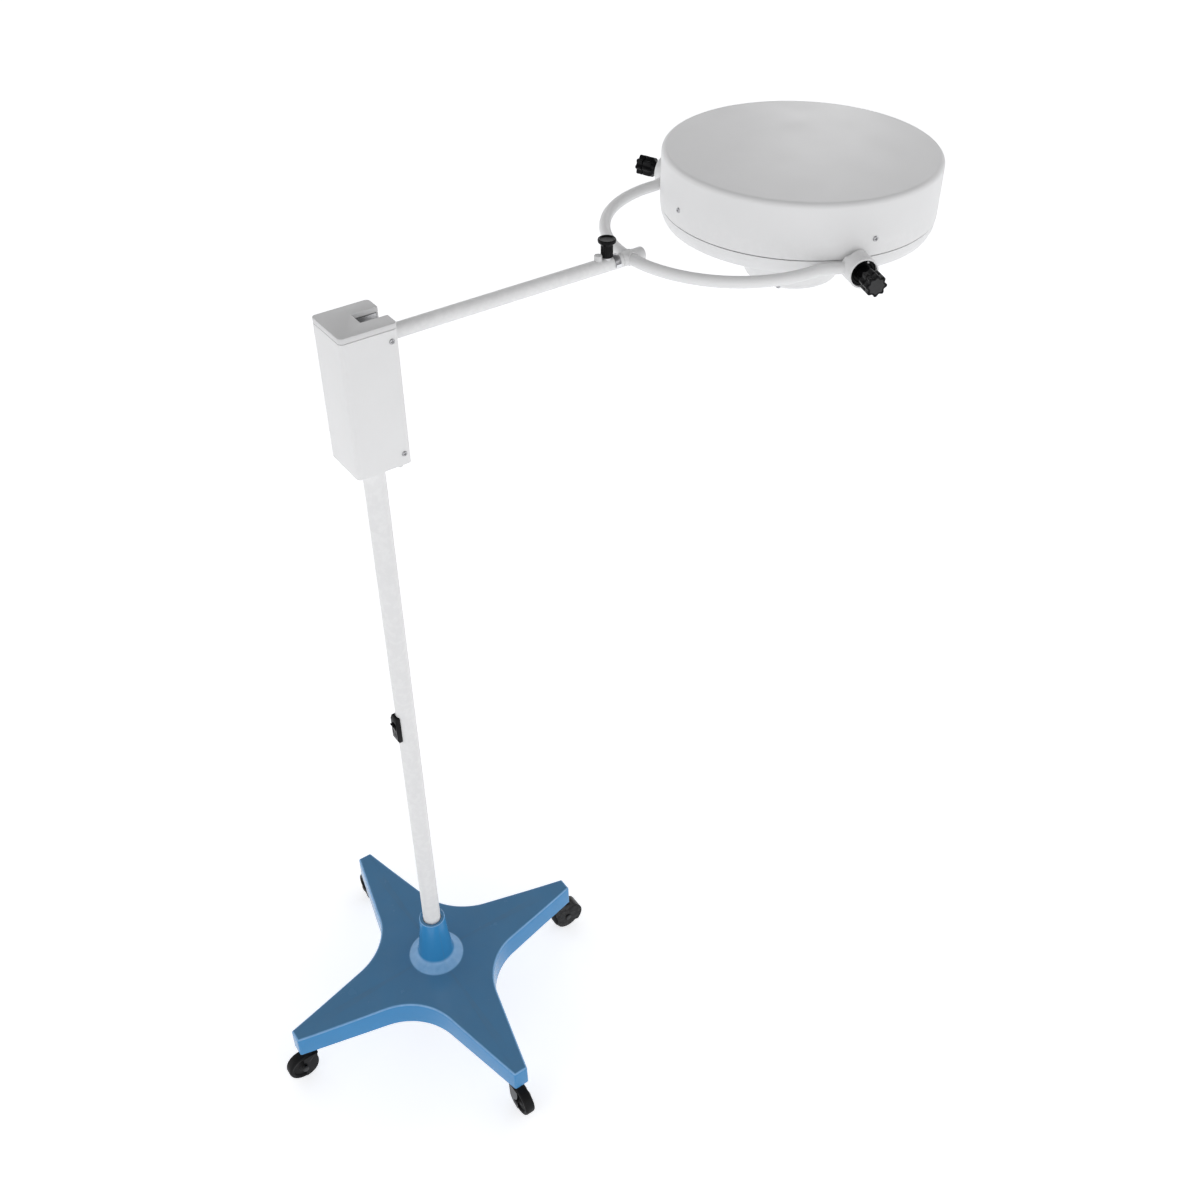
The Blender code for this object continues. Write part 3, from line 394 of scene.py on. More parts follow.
def turned(profile, segments=64, lobes=0):
    """A body turned about local Z from (radius, height) or (radius, height, lobe depth) points."""
    inner = [point for point in profile if point[0] > 0]
    rings = []
    for point in inner:
        depth = point[2] if len(point) > 2 else 0
        ring = []
        for i in range(segments):
            a = TAU * i / segments
            r = point[0] + depth * math.cos(lobes * a)
            ring.append((r * math.cos(a), r * math.sin(a), point[1]))
        rings.append(ring)
    start = (0, 0, profile[0][1]) if profile[0][0] == 0 else None
    end = (0, 0, profile[-1][1]) if profile[-1][0] == 0 else None
    return skin(rings, start is None and end is None, start, end)


def rod(radius, low, high, segments):
    """A plain cylinder about local Z."""
    return turned([(0, low), (radius, low), (radius, high), (0, high)], segments)


def arc(cx, cy, radius, start, end, steps):
    """Points on an arc, angles in degrees."""
    points = []
    for i in range(steps + 1):
        a = math.radians(start + (end - start) * i / steps)
        points.append((cx + radius * math.cos(a), cy + radius * math.sin(a)))
    return points


def rounded(profile, radius, steps=3):
    """A profile whose inner corners are rounded; its two ends stay."""
    points = [profile[0]]
    for before, here, after in zip(profile, profile[1:], profile[2:]):
        a = Vector(before) - Vector(here)
        b = Vector(after) - Vector(here)
        reach = min(radius, a.length * 0.45, b.length * 0.45)
        start, end = Vector(here) + a.normalized() * reach, Vector(here) + b.normalized() * reach
        for i in range(steps + 1):
            t = i / steps
            point = start * (1 - t) ** 2 + Vector(here) * 2 * t * (1 - t) + end * t * t
            points.append((max(point.x, 0.00002), point.y))
    return points + [profile[-1]]


def prism(outline, low, high):
    bm = bmesh.new()
    bottom = [bm.verts.new((x, y, low)) for x, y in outline]
    top = [bm.verts.new((x, y, high)) for x, y in outline]
    bm.faces.new(bottom)
    bm.faces.new(top)
    for i in range(len(outline)):
        j = (i + 1) % len(outline)
        bm.faces.new((bottom[i], bottom[j], top[j], top[i]))
    return bm


def block(low, high):
    corners = [(low[0], low[1]), (high[0], low[1]), (high[0], high[1]), (low[0], high[1])]
    return prism(corners, low[2], high[2])


def rounded_rectangle(half_x, half_y, radius, steps=8):
    points = []
    for sx, sy, start in ((1, 1, 0), (-1, 1, 90), (-1, -1, 180), (1, -1, 270)):
        points += arc(sx * (half_x - radius), sy * (half_y - radius), radius, start, start + 90, steps)
    return points


def swept(path, radius, sides):
    """A round bar along a path in a horizontal plane."""
    rings = []
    for i, point in enumerate(path):
        along = (Vector(path[min(i + 1, len(path) - 1)]) - Vector(path[max(i - 1, 0)])).normalized()
        side = Vector((along.y, -along.x, 0)).normalized()
        up = side.cross(along)
        ring = []
        for k in range(sides):
            a = TAU * k / sides
            ring.append(Vector(point) + radius * (math.cos(a) * side + math.sin(a) * up))
        rings.append(ring)
    return skin(rings, start_pole=path[0], end_pole=path[-1])


def make(name, bm, look, matrix=None, smooth=38):
    """An object from bm, placed by matrix; smooth is the sharpest angle shaded smooth."""
    bmesh.ops.remove_doubles(bm, verts=bm.verts, dist=1e-7)
    bmesh.ops.recalc_face_normals(bm, faces=bm.faces)
    mesh = bpy.data.meshes.new(name)
    bm.to_mesh(mesh)
    bm.free()
    mesh.materials.append(look)
    mesh.shade_smooth()
    mesh.set_sharp_from_angle(angle=math.radians(smooth))
    made = bpy.data.objects.new(name, mesh)
    bpy.context.scene.collection.objects.link(made)
    made.matrix_world = matrix or Matrix.Identity(4)
    return made


def piece(name, bm, slot, body, *nodes, matrix=None, look=None, smooth=38):
    """A shown piece that rides on body, takes slot's finish and stands for nodes."""
    made = make(name, bm, look or LOOKS[slot], matrix, smooth)
    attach(made, body)
    if nodes:
        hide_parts(*nodes)
    return made


def cutter(name, bm, matrix=None):
    made = make(name, bm, LOOKS["steel"], matrix)
    made.hide_render = True
    made.display_type = "WIRE"
    return made


def boolean(target, other, operation="DIFFERENCE"):
    modifier = target.modifiers.new(operation.lower(), "BOOLEAN")
    modifier.operation = operation
    modifier.solver = "EXACT"
    modifier.object = other


def softened(made, width, segments=3, angle=32):
    """Rounds a piece's edges."""
    modifier = made.modifiers.new("softened", "BEVEL")
    modifier.width = width
    modifier.segments = segments
    modifier.limit_method = "ANGLE"
    modifier.angle_limit = math.radians(angle)
    modifier.harden_normals = False


def settled(made):
    """Applies the piece's modifiers and shades the result smooth."""
    graph = bpy.context.evaluated_depsgraph_get()
    mesh = bpy.data.meshes.new_from_object(made.evaluated_get(graph))
    made.modifiers.clear()
    made.data = mesh
    mesh.shade_smooth()
    mesh.set_sharp_from_angle(angle=math.radians(38))
    return made


def pointing(place, direction):
    """Local Z along direction, at place."""
    turn = Vector(direction).normalized().to_track_quat("Z", "Y").to_matrix().to_4x4()
    return Matrix.Translation(place) @ turn


def at(place):
    return Matrix.Translation(place)


def pan_screw(name, place, direction, radius, body):
    """A pan-head screw with a cross recess."""
    rings_in, segments, height = 14, 48, radius * 0.52
    slot_half, slot_reach, slot_depth = radius * 0.13, radius * 0.58, radius * 0.34
    rings = []
    for k in range(1, rings_in + 1):
        r = radius * k / rings_in
        ring = []
        for i in range(segments):
            a = TAU * i / segments
            x, y = r * math.cos(a), r * math.sin(a)
            share = r / radius
            z = height * (1 - share**4) ** 0.5
            off = min(abs(x), abs(y))
            if off < slot_half and r < slot_reach:
                z -= slot_depth * (1 - (r / slot_reach) ** 2)
            ring.append((x, y, z))
        rings.append(ring)
    low = -0.0004
    rings.append([(x, y, low) for x, y, _ in rings[-1]])
    bm = skin(rings, start_pole=(0, 0, height - slot_depth), end_pole=(0, 0, low))
    return piece(name, bm, "chrome", body, matrix=pointing(place, direction), look=SCREW_STEEL, smooth=30)


# ---------------------------------------------------------------- base


def star(reach, tip_half, inset, fine):
    """The base's outline: four legs whose straight edges run into round hollows."""
    slope, hollow_middle = 0.232, 0.138
    crossing = (tip_half + slope * reach) / (1 + slope)
    edge_angle = math.atan(slope)
    half_angle = math.pi / 4 + edge_angle
    curve_r = (hollow_middle - crossing * math.sqrt(2)) / (1 / math.sin(half_angle) - 1)
    centre = crossing + curve_r / math.sin(half_angle) / math.sqrt(2)
    corner = 0.004
    curve = arc(
        centre, centre, curve_r, 270 - math.degrees(edge_angle), 180 + math.degrees(edge_angle), 6 * fine,
    )
    quarter = [(reach, 0)] + arc(reach - corner, tip_half - corner, corner, 0, 80, 5)
    first, last = Vector(curve[0]), Vector(curve[-1])
    tip, next_tip = Vector((reach - corner * 0.8, tip_half)), Vector((tip_half, reach - corner * 0.8))
    quarter += [tuple(tip.lerp(first, k / (2 * fine))) for k in range(1, 2 * fine)]
    quarter += curve
    quarter += [tuple(last.lerp(next_tip, k / (2 * fine))) for k in range(1, 2 * fine)]
    quarter += arc(tip_half - corner, reach - corner, corner, 10, 90, 5)
    points = []
    for turn in range(4):
        c, s = math.cos(turn * TAU / 4), math.sin(turn * TAU / 4)
        points += [Vector((x * c - y * s, x * s + y * c)) for x, y in quarter]
    moved = []
    for i, point in enumerate(points):
        before = (point - points[i - 1]).normalized()
        after = (points[(i + 1) % len(points)] - point).normalized()
        out = Vector((before.y + after.y, -before.x - after.x)).normalized()
        moved.append(point - out * inset)
    return moved


def base_height(radius):
    tip_top, rise = 0.147, 0.012
    share = min(1.0, radius / BASE_REACH)
    return tip_top + rise * (1 - share * share * (3 - 2 * share))


def base():
    tip_half, edge, fine = LEG_TIP_HALF, BASE_EDGE, 5
    rings = []
    for inset, z in ((0.0005, 0), (-0.0010, 0.0012), (-0.0010, 0.0030)):
        rings.append([(p.x, p.y, BASE_BOTTOM + z) for p in star(BASE_REACH, tip_half, inset, fine)])
    for step in range(7):
        a = math.radians(90 * step / 6)
        inset, drop = edge * (1 - math.cos(a)), edge * (1 - math.sin(a))
        outline = star(BASE_REACH, tip_half, inset, fine)
        rings.append([(p.x, p.y, base_height(p.length) - drop) for p in outline])
    rim = star(BASE_REACH, tip_half, edge, fine)
    for step in range(1, 15):
        share = 1 - step / 14
        ring = []
        for p in rim:
            q = p.normalized() * (FLARE_R + (p.length - FLARE_R) * share)
            ring.append((q.x, q.y, base_height(q.length)))
        rings.append(ring)
    plate = base_height(FLARE_R)
    bead = [
        (0.0622, plate + 0.0001), (0.0608, plate + 0.0005), (0.0592, plate + 0.0015),
        (0.0574, plate + 0.0030), (0.0556, plate + 0.0046), (0.0538, plate + 0.0061),
        (0.0519, plate + 0.0076), (0.0500, plate + 0.0090), (0.0481, plate + 0.0104),
        (0.0463, plate + 0.0118), (0.0446, plate + 0.0133), (0.0431, plate + 0.0149),
        (0.0418, plate + 0.0167), (0.0407, plate + 0.0188), (0.0398, plate + 0.0212),
        (0.0390, plate + 0.0242), (0.0381, plate + 0.0290), (0.0362, plate + 0.0440),
        (0.0330, plate + 0.0720), (0.0300, plate + 0.1010), (0.0282, SOCKET_TOP - 0.0040),
        (0.0278, SOCKET_TOP - 0.0014), (0.0270, SOCKET_TOP - 0.0003), (0.0260, SOCKET_TOP),
        (0.0222, SOCKET_TOP), (0.0212, SOCKET_TOP - 0.0004), (0.0206, SOCKET_TOP - 0.0014),
        (0.0206, BASE_BOTTOM + 0.0135), (0.0440, BASE_BOTTOM + 0.0135), (0.0460, BASE_BOTTOM + 0.0545),
    ]
    directions = [p.normalized() for p in rim]
    for r, z in bead:
        rings.append([(d.x * r, d.y * r, z) for d in directions])
    hollow = star(0.305, 0.0200, 0.006, fine)
    rings.append([(p.x * 0.97, p.y * 0.97, BASE_BOTTOM + 0.0475) for p in hollow])
    rings.append([(p.x, p.y, BASE_BOTTOM + 0.0015) for p in hollow])
    inner = star(0.306, 0.0205, 0.005, fine)
    rings.append([(p.x, p.y, BASE_BOTTOM) for p in inner])
    piece("star_base", skin(rings, closed=True), "blue_paint", "stand", "base_casting", matrix=at(COLUMN))


# ---------------------------------------------------------------- castors


def castor_hood():
    """Hood, cheeks and top plate of one castor, trailing to +X, before the wheel's space is cut."""
    side = [(-0.020, 0.0755), (-0.020, 0.0835), (0.022, 0.0835)]
    side += arc(CASTOR_TRAIL, WHEEL_R, HOOD_R, 66, -44, 30)
    side += arc(CASTOR_TRAIL, WHEEL_R, CHEEK_R, -52, -160, 24)
    side += [(-0.010, 0.062)]
    bm = prism(side, -HOOD_HALF, HOOD_HALF)
    bm.transform(LYING)
    return bm


def castors():
    names = ("front", "left", "rear", "right")
    for quarter, name in enumerate(names):
        turn = Matrix.Rotation(quarter * TAU / 4, 4, "Z")
        place = at(COLUMN) @ turn @ at((CASTOR_REACH, 0, 0))
        axle = place @ at((CASTOR_TRAIL, 0, WHEEL_R)) @ LYING
        castor = "castor_" + name
        fork = "castor_fork_" + name
        hood = piece("castor_hood_" + name, castor_hood(), "black_plastic", castor, fork, matrix=place)
        space = rod(WHEEL_ROOM_R, -WHEEL_ROOM_HALF, WHEEL_ROOM_HALF, 72)
        boolean(hood, cutter("wheel_space_" + name, space, axle))
        below = block((-0.030, -WHEEL_ROOM_HALF, -0.01), (CASTOR_TRAIL, WHEEL_ROOM_HALF, 0.065))
        boolean(hood, cutter("fork_opening_" + name, below, place))
        hub = rod(AXLE_BORE_R, -0.03, 0.03, 32)
        boolean(hood, cutter("axle_hole_" + name, hub, axle))
        softened(hood, 0.0012, 3)
        settled(hood)
        lip = rounded([
            (0.0043, -0.0092), (0.0120, -0.0092), (0.0130, -0.0070), (0.0250, -0.0070), (0.0262, -0.0100),
            (0.0300, -0.0115), (0.0335, -0.0108), (0.0350, -0.0075), (0.0350, 0.0075), (0.0335, 0.0108),
            (0.0300, 0.0115), (0.0262, 0.0100), (0.0250, 0.0070), (0.0130, 0.0070), (0.0120, 0.0092),
            (0.0043, 0.0092),
        ], 0.0012, 2)
        piece(
            "tyre_" + name, turned(lip, 72), "black_rubber", "wheel_" + name, "castor_wheel_" + name,
            matrix=axle,
        )
        bolt = rounded([
            (0, -0.0185), (0.0066, -0.0185), (0.0072, -0.0160), (0.0072, -0.0158), (0.0040, -0.0158),
            (0.0040, 0.0158), (0.0072, 0.0158), (0.0072, 0.0160), (0.0066, 0.0185), (0, 0.0185),
        ], 0.0006, 2)
        spindle, node = turned(bolt, 40), "castor_axle_" + name
        piece("axle_bolt_" + name, spindle, "black_plastic", castor, node, matrix=axle, look=GREY_FACE)
        stem = rounded([
            (0, 0.1240), (0.0052, 0.1240), (0.0055, 0.1230), (0.0055, BASE_BOTTOM - GAP),
            (0.0155, BASE_BOTTOM - GAP), (0.0155, 0.0885), (0.0130, 0.0843), (0, 0.0843),
        ], 0.0006, 2)
        piece("swivel_race_" + name, turned(stem, 48), "steel", "stand", "castor_stem_" + name, matrix=place)


# ---------------------------------------------------------------- column and switch


def column():
    low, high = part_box("column_tube")[0].z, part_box("column_tube")[1].z
    bore = COLUMN_R - 0.002
    ends = 0.0004
    profile = [
        (COLUMN_R - ends, low), (COLUMN_R, low + ends), (COLUMN_R, high - ends), (COLUMN_R - ends, high),
        (bore, high), (bore, low),
    ]
    piece("column", turned(profile, 96), "white_paint", "stand", "column_tube", matrix=at(COLUMN))
    low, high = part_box("column_bush")[0].z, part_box("column_bush")[1].z
    profile = [(BUSH_BORE, low), (BUSH_BORE, high), (COLUMN_R + GAP, high), (COLUMN_R + GAP, low)]
    piece("socket_bush", turned(profile, 96), "black_rubber", "stand", "column_bush", matrix=at(COLUMN))


def switch():
    low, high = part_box("switch_bezel")
    centre_z = (low.z + high.z) / 2
    front, half_y, half_z = low.x - COLUMN.x, (high.y - low.y) / 2, (high.z - low.z) / 2
    outline = [
        (-0.0135, -half_z), (front + 0.0035, -half_z), (front + 0.0004, -half_z * 0.80),
        (front + 0.0004, half_z * 0.80), (front + 0.0035, half_z), (-0.0135, half_z),
    ]
    bm = prism(outline, -half_y, half_y)
    bm.transform(LYING)
    place = at(COLUMN + Vector((0, 0, centre_z)))
    bezel = piece("rocker_surround", bm, "black_plastic", "stand", "switch_bezel", matrix=place)
    clear = rod(COLUMN_R + GAP, -0.1, 0.1, 96)
    boolean(bezel, cutter("surround_seat", clear, place))
    boolean(
        bezel, cutter("surround_well", block((-0.04, -0.0070, -0.0165), (-0.0150, 0.0070, 0.0165)), place),
    )
    softened(bezel, 0.0009, 3)
    settled(bezel)
    low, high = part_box("switch_rocker")
    pivot = COLUMN + Vector((-0.0225, 0, (low.z + high.z) / 2))
    half, dish, steps = 0.0150, 0.0024, 6
    face = []
    for k in range(steps, -steps - 1, -1):
        face.append((-0.0070 + dish * (1 - (k / steps) ** 2), half * k / steps))
    outline = face + [(0.0010, -half), (0.0038, -0.0060), (0.0038, 0.0060), (0.0010, half)]
    bm = prism(outline, -0.0064, 0.0064)
    bm.transform(LYING)
    leaning = at(pivot) @ Matrix.Rotation(math.radians(-9), 4, "Y")
    rocker = piece("rocker", bm, "black_plastic", "switch", "switch_rocker", matrix=leaning)
    softened(rocker, 0.0005, 2)
    settled(rocker)


# ---------------------------------------------------------------- housing


def housing():
    half_x, half_y = (HOUSING_HIGH.x - HOUSING_LOW.x) / 2, (HOUSING_HIGH.y - HOUSING_LOW.y) / 2
    wall, slot_half = 0.003, 0.016
    outline = rounded_rectangle(half_x, half_y, 0.0075)
    inside = rounded_rectangle(half_x - wall, half_y - wall, 0.0045)
    low, top = HOUSING_LOW.z, HOUSING_HIGH.z
    bm = prism(outline, low, SEAM_Z - SEAM_HALF)
    shell = piece("spring_housing", bm, "white_paint", "housing", "housing_shell", matrix=at(COLUMN))
    boolean(shell, cutter("housing_room", prism(inside, low + wall, top + 0.01), at(COLUMN)))
    slot = block((0.02, -slot_half, ARM_Z - 0.075), (0.07, slot_half, top + 0.01))
    boolean(shell, cutter("housing_slot", slot, at(COLUMN)))
    hole = rod(BUSH_BORE, low - 0.02, low + 0.02, 96)
    boolean(shell, cutter("housing_collar", hole, at(COLUMN)))
    softened(shell, 0.0009, 3, 50)
    settled(shell)
    bm = prism(outline, SEAM_Z + SEAM_HALF, top)
    cap = piece("housing_lid", bm, "white_plastic", "housing", "housing_cap", matrix=at(COLUMN))
    slot = rounded_slot(slot_half)
    boolean(cap, cutter("lid_slot", prism(slot, SEAM_Z - 0.02, top + 0.02), at(COLUMN)))
    softened(cap, 0.0012, 3, 50)
    settled(cap)
    for side, hand in ((-1, "right"), (1, "left")):
        for z, level in ((1.7190, "upper"), (1.5190, "lower")):
            place = COLUMN + Vector((0.036, side * (half_y + 0.0001), z))
            pan_screw("housing_screw_%s_%s" % (hand, level), place, (0, side, 0), 0.0047, "housing")
    low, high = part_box("swivel_stop")
    place = at((middle("swivel_stop").x, middle("swivel_stop").y, high.z))
    depth = high.z - low.z
    profile = rounded([
        (0, 0), (0.0048, 0), (0.0048, -depth + 0.002), (0.0036, -depth), (0, -depth),
    ], 0.0008, 3)
    piece("stop_peg", turned(profile, 48), "white_plastic", "housing", "swivel_stop", matrix=place)


def rounded_slot(half):
    """The lid's slot, with small radii in its inner corners."""
    corner, back = 0.0015, 0.003
    points = [(0.07, -half), (0.07, half)]
    points += arc(back + corner, half - corner, corner, 90, 180, 4)
    points += arc(back + corner, -half + corner, corner, 180, 270, 4)
    return points


# ---------------------------------------------------------------- arm


def arm():
    start, bore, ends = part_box("arm_tube")[0].x, ARM_R - 0.002, 0.0003
    axis = pointing((0, 0, ARM_Z), (1, 0, 0))
    profile = [
        (ARM_R - ends, start), (ARM_R, start + ends), (ARM_R, ARM_END - ends), (ARM_R - ends, ARM_END),
        (bore, ARM_END), (bore, start),
    ]
    piece("arm", turned(profile, 72), "white_paint", "arm", "arm_tube", matrix=axis)
    stud_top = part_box("stop_stud")[1].z - ARM_Z
    stud_x = middle("stop_stud").x
    around = rod(ARM_R + GAP, -0.05, 0.05, 72)
    seat = cutter("stud_seat", around, pointing((stud_x, 0, ARM_Z), (1, 0, 0)))
    profile = rounded([
        (0, 0.004), (0.0069, 0.004), (0.0069, stud_top - 0.0010), (0.0061, stud_top),
        (0.0040, stud_top - 0.0006), (0, stud_top - 0.0006),
    ], 0.0006, 3)
    stud = piece(
        "arm_stud", turned(profile, 56), "white_plastic", "arm", "stop_stud", matrix=at((stud_x, 0, ARM_Z)),
    )
    boolean(stud, seat)
    settled(stud)
    clip()
    plunger()


def clip():
    """The metal band over the arm and its folded tab."""
    inner, outer, half, trim = ARM_R + 0.0003, ARM_R + 0.0012, 0.0058, 0.0005
    section = [
        (inner, -half), (outer - 0.0003, -half), (outer, trim - half), (outer, half - trim),
        (outer - 0.0003, half), (inner, half),
    ]
    x = middle("joint_clip").x
    bm = bmesh.new()
    rows = []
    for i in range(49):
        a = math.radians(-14 + 208 * i / 48)
        row = []
        for r, across in section:
            row.append(bm.verts.new((across, -r * math.cos(a), r * math.sin(a))))
        rows.append(row)
    for first, second in zip(rows, rows[1:]):
        for k in range(6):
            bm.faces.new((first[k], first[(k + 1) % 6], second[(k + 1) % 6], second[k]))
    bm.faces.new(rows[0])
    bm.faces.new(rows[-1])
    piece("clip_band", bm, "chrome", "arm", "joint_clip", matrix=at((x, 0, ARM_Z)), look=SPRUNG_STEEL)
    tab = block((-0.0050, -outer - 0.0022, -0.0034), (0.0050, -inner - 0.0001, 0.0022))
    folded = piece("clip_tab", tab, "chrome", "arm", matrix=at((x, 0, ARM_Z)))
    softened(folded, 0.0007, 3)
    settled(folded)


def plunger():
    """The fluted pull knob."""
    x = middle("lock_knob").x
    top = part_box("lock_knob")[1].z - ARM_Z
    flute = 0.0005
    profile = [
        (0.0033, 0.0390, 0), (0.0033, 0.0310, 0), (0.0088, 0.0310, 0), (0.0088, 0.0142, 0),
        (0.0095, 0.0142, 0), (0.0099, 0.0146, flute * 0.5), (0.0100, 0.0154, flute),
        (0.0100, 0.0340, flute), (0.0102, 0.0352, flute * 0.5), (0.0107, 0.0366, 0), (0.0118, 0.0382, 0),
        (0.0140, 0.0392, 0), (0.0150, 0.0401, 0), (0.0157, 0.0418, 0), (0.0157, 0.0444, 0),
        (0.0154, 0.0455, 0), (0.0147, 0.0462, 0), (0.0138, top, 0), (0.0128, top - 0.0001, 0),
        (0.0119, top - 0.0008, 0), (0.0110, top - 0.0020, 0), (0, top - 0.0026, 0),
    ]
    piece(
        "pull_knob", turned(profile, 144, 18), "black_plastic", "lock", "lock_knob",
        matrix=at((x, 0, ARM_Z)),
    )


# ---------------------------------------------------------------- yoke


def radial(distance, side):
    return HEAD + Vector((distance * math.cos(BOSS_ANGLE), side * distance * math.sin(BOSS_ANGLE), 0))


def radial_frame(side):
    """Local Z outward along a clamp screw's axis, origin on the head's axis."""
    return at(HEAD) @ Matrix.Rotation(side * BOSS_ANGLE, 4, "Z") @ Matrix.Rotation(math.pi / 2, 4, "Y")


def yoke_path():
    """Half circle behind the head, running on to both bosses."""
    bend_r = YOKE_BEND_X - YOKE_BACK
    bend = arc(YOKE_BEND_X, 0, bend_r, 270, 90, 88)
    end = radial(0.2700, 1)
    tail = []
    for k in range(1, 17):
        share = k / 16
        tail.append((YOKE_BEND_X + (end.x - YOKE_BEND_X) * share, bend_r + (end.y - bend_r) * share**1.6))
    right = [(x, -y) for x, y in tail[::-1]]
    return [(x, y, ARM_Z) for x, y in right + bend + tail]


def yoke():
    tube_r = 0.0102
    arm_axis = pointing((0, 0, ARM_Z), (1, 0, 0))
    hub_start, hub_end = ARM_END + 2 * GAP, COLUMN.x + 0.5430
    frame_piece = piece("yoke", swept(yoke_path(), tube_r, 40), "white_paint", "yoke", "yoke_frame")
    dome = [(ARM_R - 0.0026, hub_end - 0.0007), (ARM_R - 0.0060, hub_end - 0.0002), (0, hub_end)]
    profile = [
        (0, hub_start), (ARM_R - 0.0004, hub_start), (ARM_R, hub_start + 0.0004), (ARM_R, hub_end - 0.0035),
        (ARM_R - 0.0009, hub_end - 0.0018),
    ]
    boolean(frame_piece, cutter("yoke_hub", turned(profile + dome, 72), arm_axis), "UNION")
    reach = PAD_FACE + GAP
    front = HEAD.x + 0.01
    low, high = ARM_Z - 0.05, ARM_Z + 0.05
    square = cutter("pad_room", block((TILT_X - PAD_R - 0.0006, -reach, low), (front, reach, high)))
    inner = cutter("drum_room", block((COLUMN.x + 0.755, -0.2345, low), (TILT_X, 0.2345, high)))
    for side, hand in SIDES:
        place = radial_frame(side)
        rim = arc(0.0253, 0.2916, 0.0012, 0, 90, 4)
        boss = turned([(0, 0.2360), (0.0265, 0.2360), (0.0265, 0.2912)] + rim + [(0, 0.2928)], 96)
        body = cutter("boss_" + hand, boss, place)
        boolean(body, inner)
        boolean(frame_piece, body, "UNION")
    boolean(frame_piece, square)
    for side, hand in SIDES:
        place = radial_frame(side)
        recess = rod(0.0234, 0.2810, 0.31, 96)
        boolean(frame_piece, cutter("recess_" + hand, recess, place))
        screw = rod(0.0046, 0.268, 0.30, 32)
        boolean(frame_piece, cutter("screw_bore_" + hand, screw, place))
        journal = rod(0.0103, 0.20, 0.2620, 48)
        tilt_axis = pointing((TILT_X, 0, ARM_Z), (0, side, 0))
        boolean(frame_piece, cutter("journal_bore_" + hand, journal, tilt_axis))
    bore = rod(0.0098, ARM_END - 0.02, hub_end - 0.006, 48)
    boolean(frame_piece, cutter("spindle_bore", bore, arm_axis))
    settled(frame_piece)
    welds()
    for side, hand in SIDES:
        clamp(side, hand)


def welds():
    """Fillet welds where the tube meets the hub."""
    for side, hand in SIDES:
        rings = []
        for i in range(41):
            a = TAU * i / 40
            contact = Vector((YOKE_BACK + 0.0108 * math.cos(a), 0, ARM_Z + 0.0108 * math.sin(a)))
            sagged = math.sqrt(max(ARM_R**2 - (contact.z - ARM_Z) ** 2, 0.00002))
            bead_r = 0.0016 + 0.0002 * math.sin(11 * a)
            centre = Vector((contact.x + 0.0012 * (math.cos(a) > 0), side * (sagged - 0.0002), contact.z))
            out = Vector((math.cos(a), 0, math.sin(a)))
            ring = []
            for k in range(10):
                b = TAU * k / 10
                ring.append(centre + bead_r * (math.cos(b) * out + math.sin(b) * Vector((0, side, 0))))
            rings.append(ring)
        piece("hub_weld_" + hand, skin(rings[:-1], closed=True), "white_paint", "yoke", smooth=60)


def clamp(side, hand):
    """Collar, star knob and the small pin beside it."""
    place = radial_frame(side)
    collar = rounded([
        (0.0050, 0.2813), (0.0231, 0.2813), (0.0231, 0.2866), (0.0212, 0.2878), (0.0178, 0.2878),
        (0.0162, 0.2850), (0.0128, 0.2850), (0.0128, 0.2835), (0.0050, 0.2835),
    ], 0.0006, 2)
    piece("collar_" + hand, turned(collar, 96), "black_plastic", "yoke", "knob_collar_" + hand, matrix=place)
    lobe = 0.0020
    profile = [
        (0.0134, 0.3414, lobe * 0.6), (0.0142, 0.3419, lobe * 0.7), (0.0154, 0.3420, lobe * 0.85),
        (0.0164, 0.3417, lobe), (0.0170, 0.3409, lobe), (0.0171, 0.3398, lobe), (0.0171, 0.3292, lobe),
        (0.0167, 0.3286, lobe * 0.8), (0.0146, 0.3282, lobe * 0.3), (0.0142, 0.3276, lobe * 0.2),
        (0.0146, 0.3270, lobe * 0.3), (0.0167, 0.3266, lobe * 0.8), (0.0171, 0.3260, lobe),
        (0.0171, 0.3140, lobe), (0.0169, 0.3122, lobe), (0.0162, 0.3106, lobe * 0.8),
        (0.0150, 0.3090, lobe * 0.5), (0.0138, 0.3078, lobe * 0.2), (0.0128, 0.3066, 0.0001),
        (0.0122, 0.3048, 0), (0.0119, 0.3020, 0), (0.0119, 0.2900, 0), (0.0117, 0.2886, 0),
        (0.0112, 0.2880, 0), (0.0044, 0.2880, 0), (0.0044, 0.3010, 0),
    ]
    knob_body = "knob_" + hand
    knob = turned([(0, 0.3414, 0)] + profile + [(0, 0.3010, 0)], 128, 8)
    piece("star_knob_" + hand, knob, "black_plastic", knob_body, "clamp_knob_" + hand, matrix=place)
    face = turned([
        (0, 0.34145, 0), (0.0131, 0.34145, lobe * 0.55), (0.0131, 0.3412, lobe * 0.55), (0, 0.3412, 0),
    ], 128, 8)
    piece("knob_face_" + hand, face, "black_plastic", knob_body, matrix=place, look=GREY_FACE)
    pin_turn = math.radians(200)
    pin_place = place @ at((0.0192 * math.cos(pin_turn), 0.0192 * math.sin(pin_turn) * side, 0.2870))
    pin = rounded([(0, 0.0034), (0.0013, 0.0034), (0.0016, 0.0028), (0.0016, 0), (0, 0)], 0.0003, 2)
    piece("index_pin_" + hand, turned(pin, 24), "white_plastic", "yoke", matrix=pin_place)


# ---------------------------------------------------------------- head


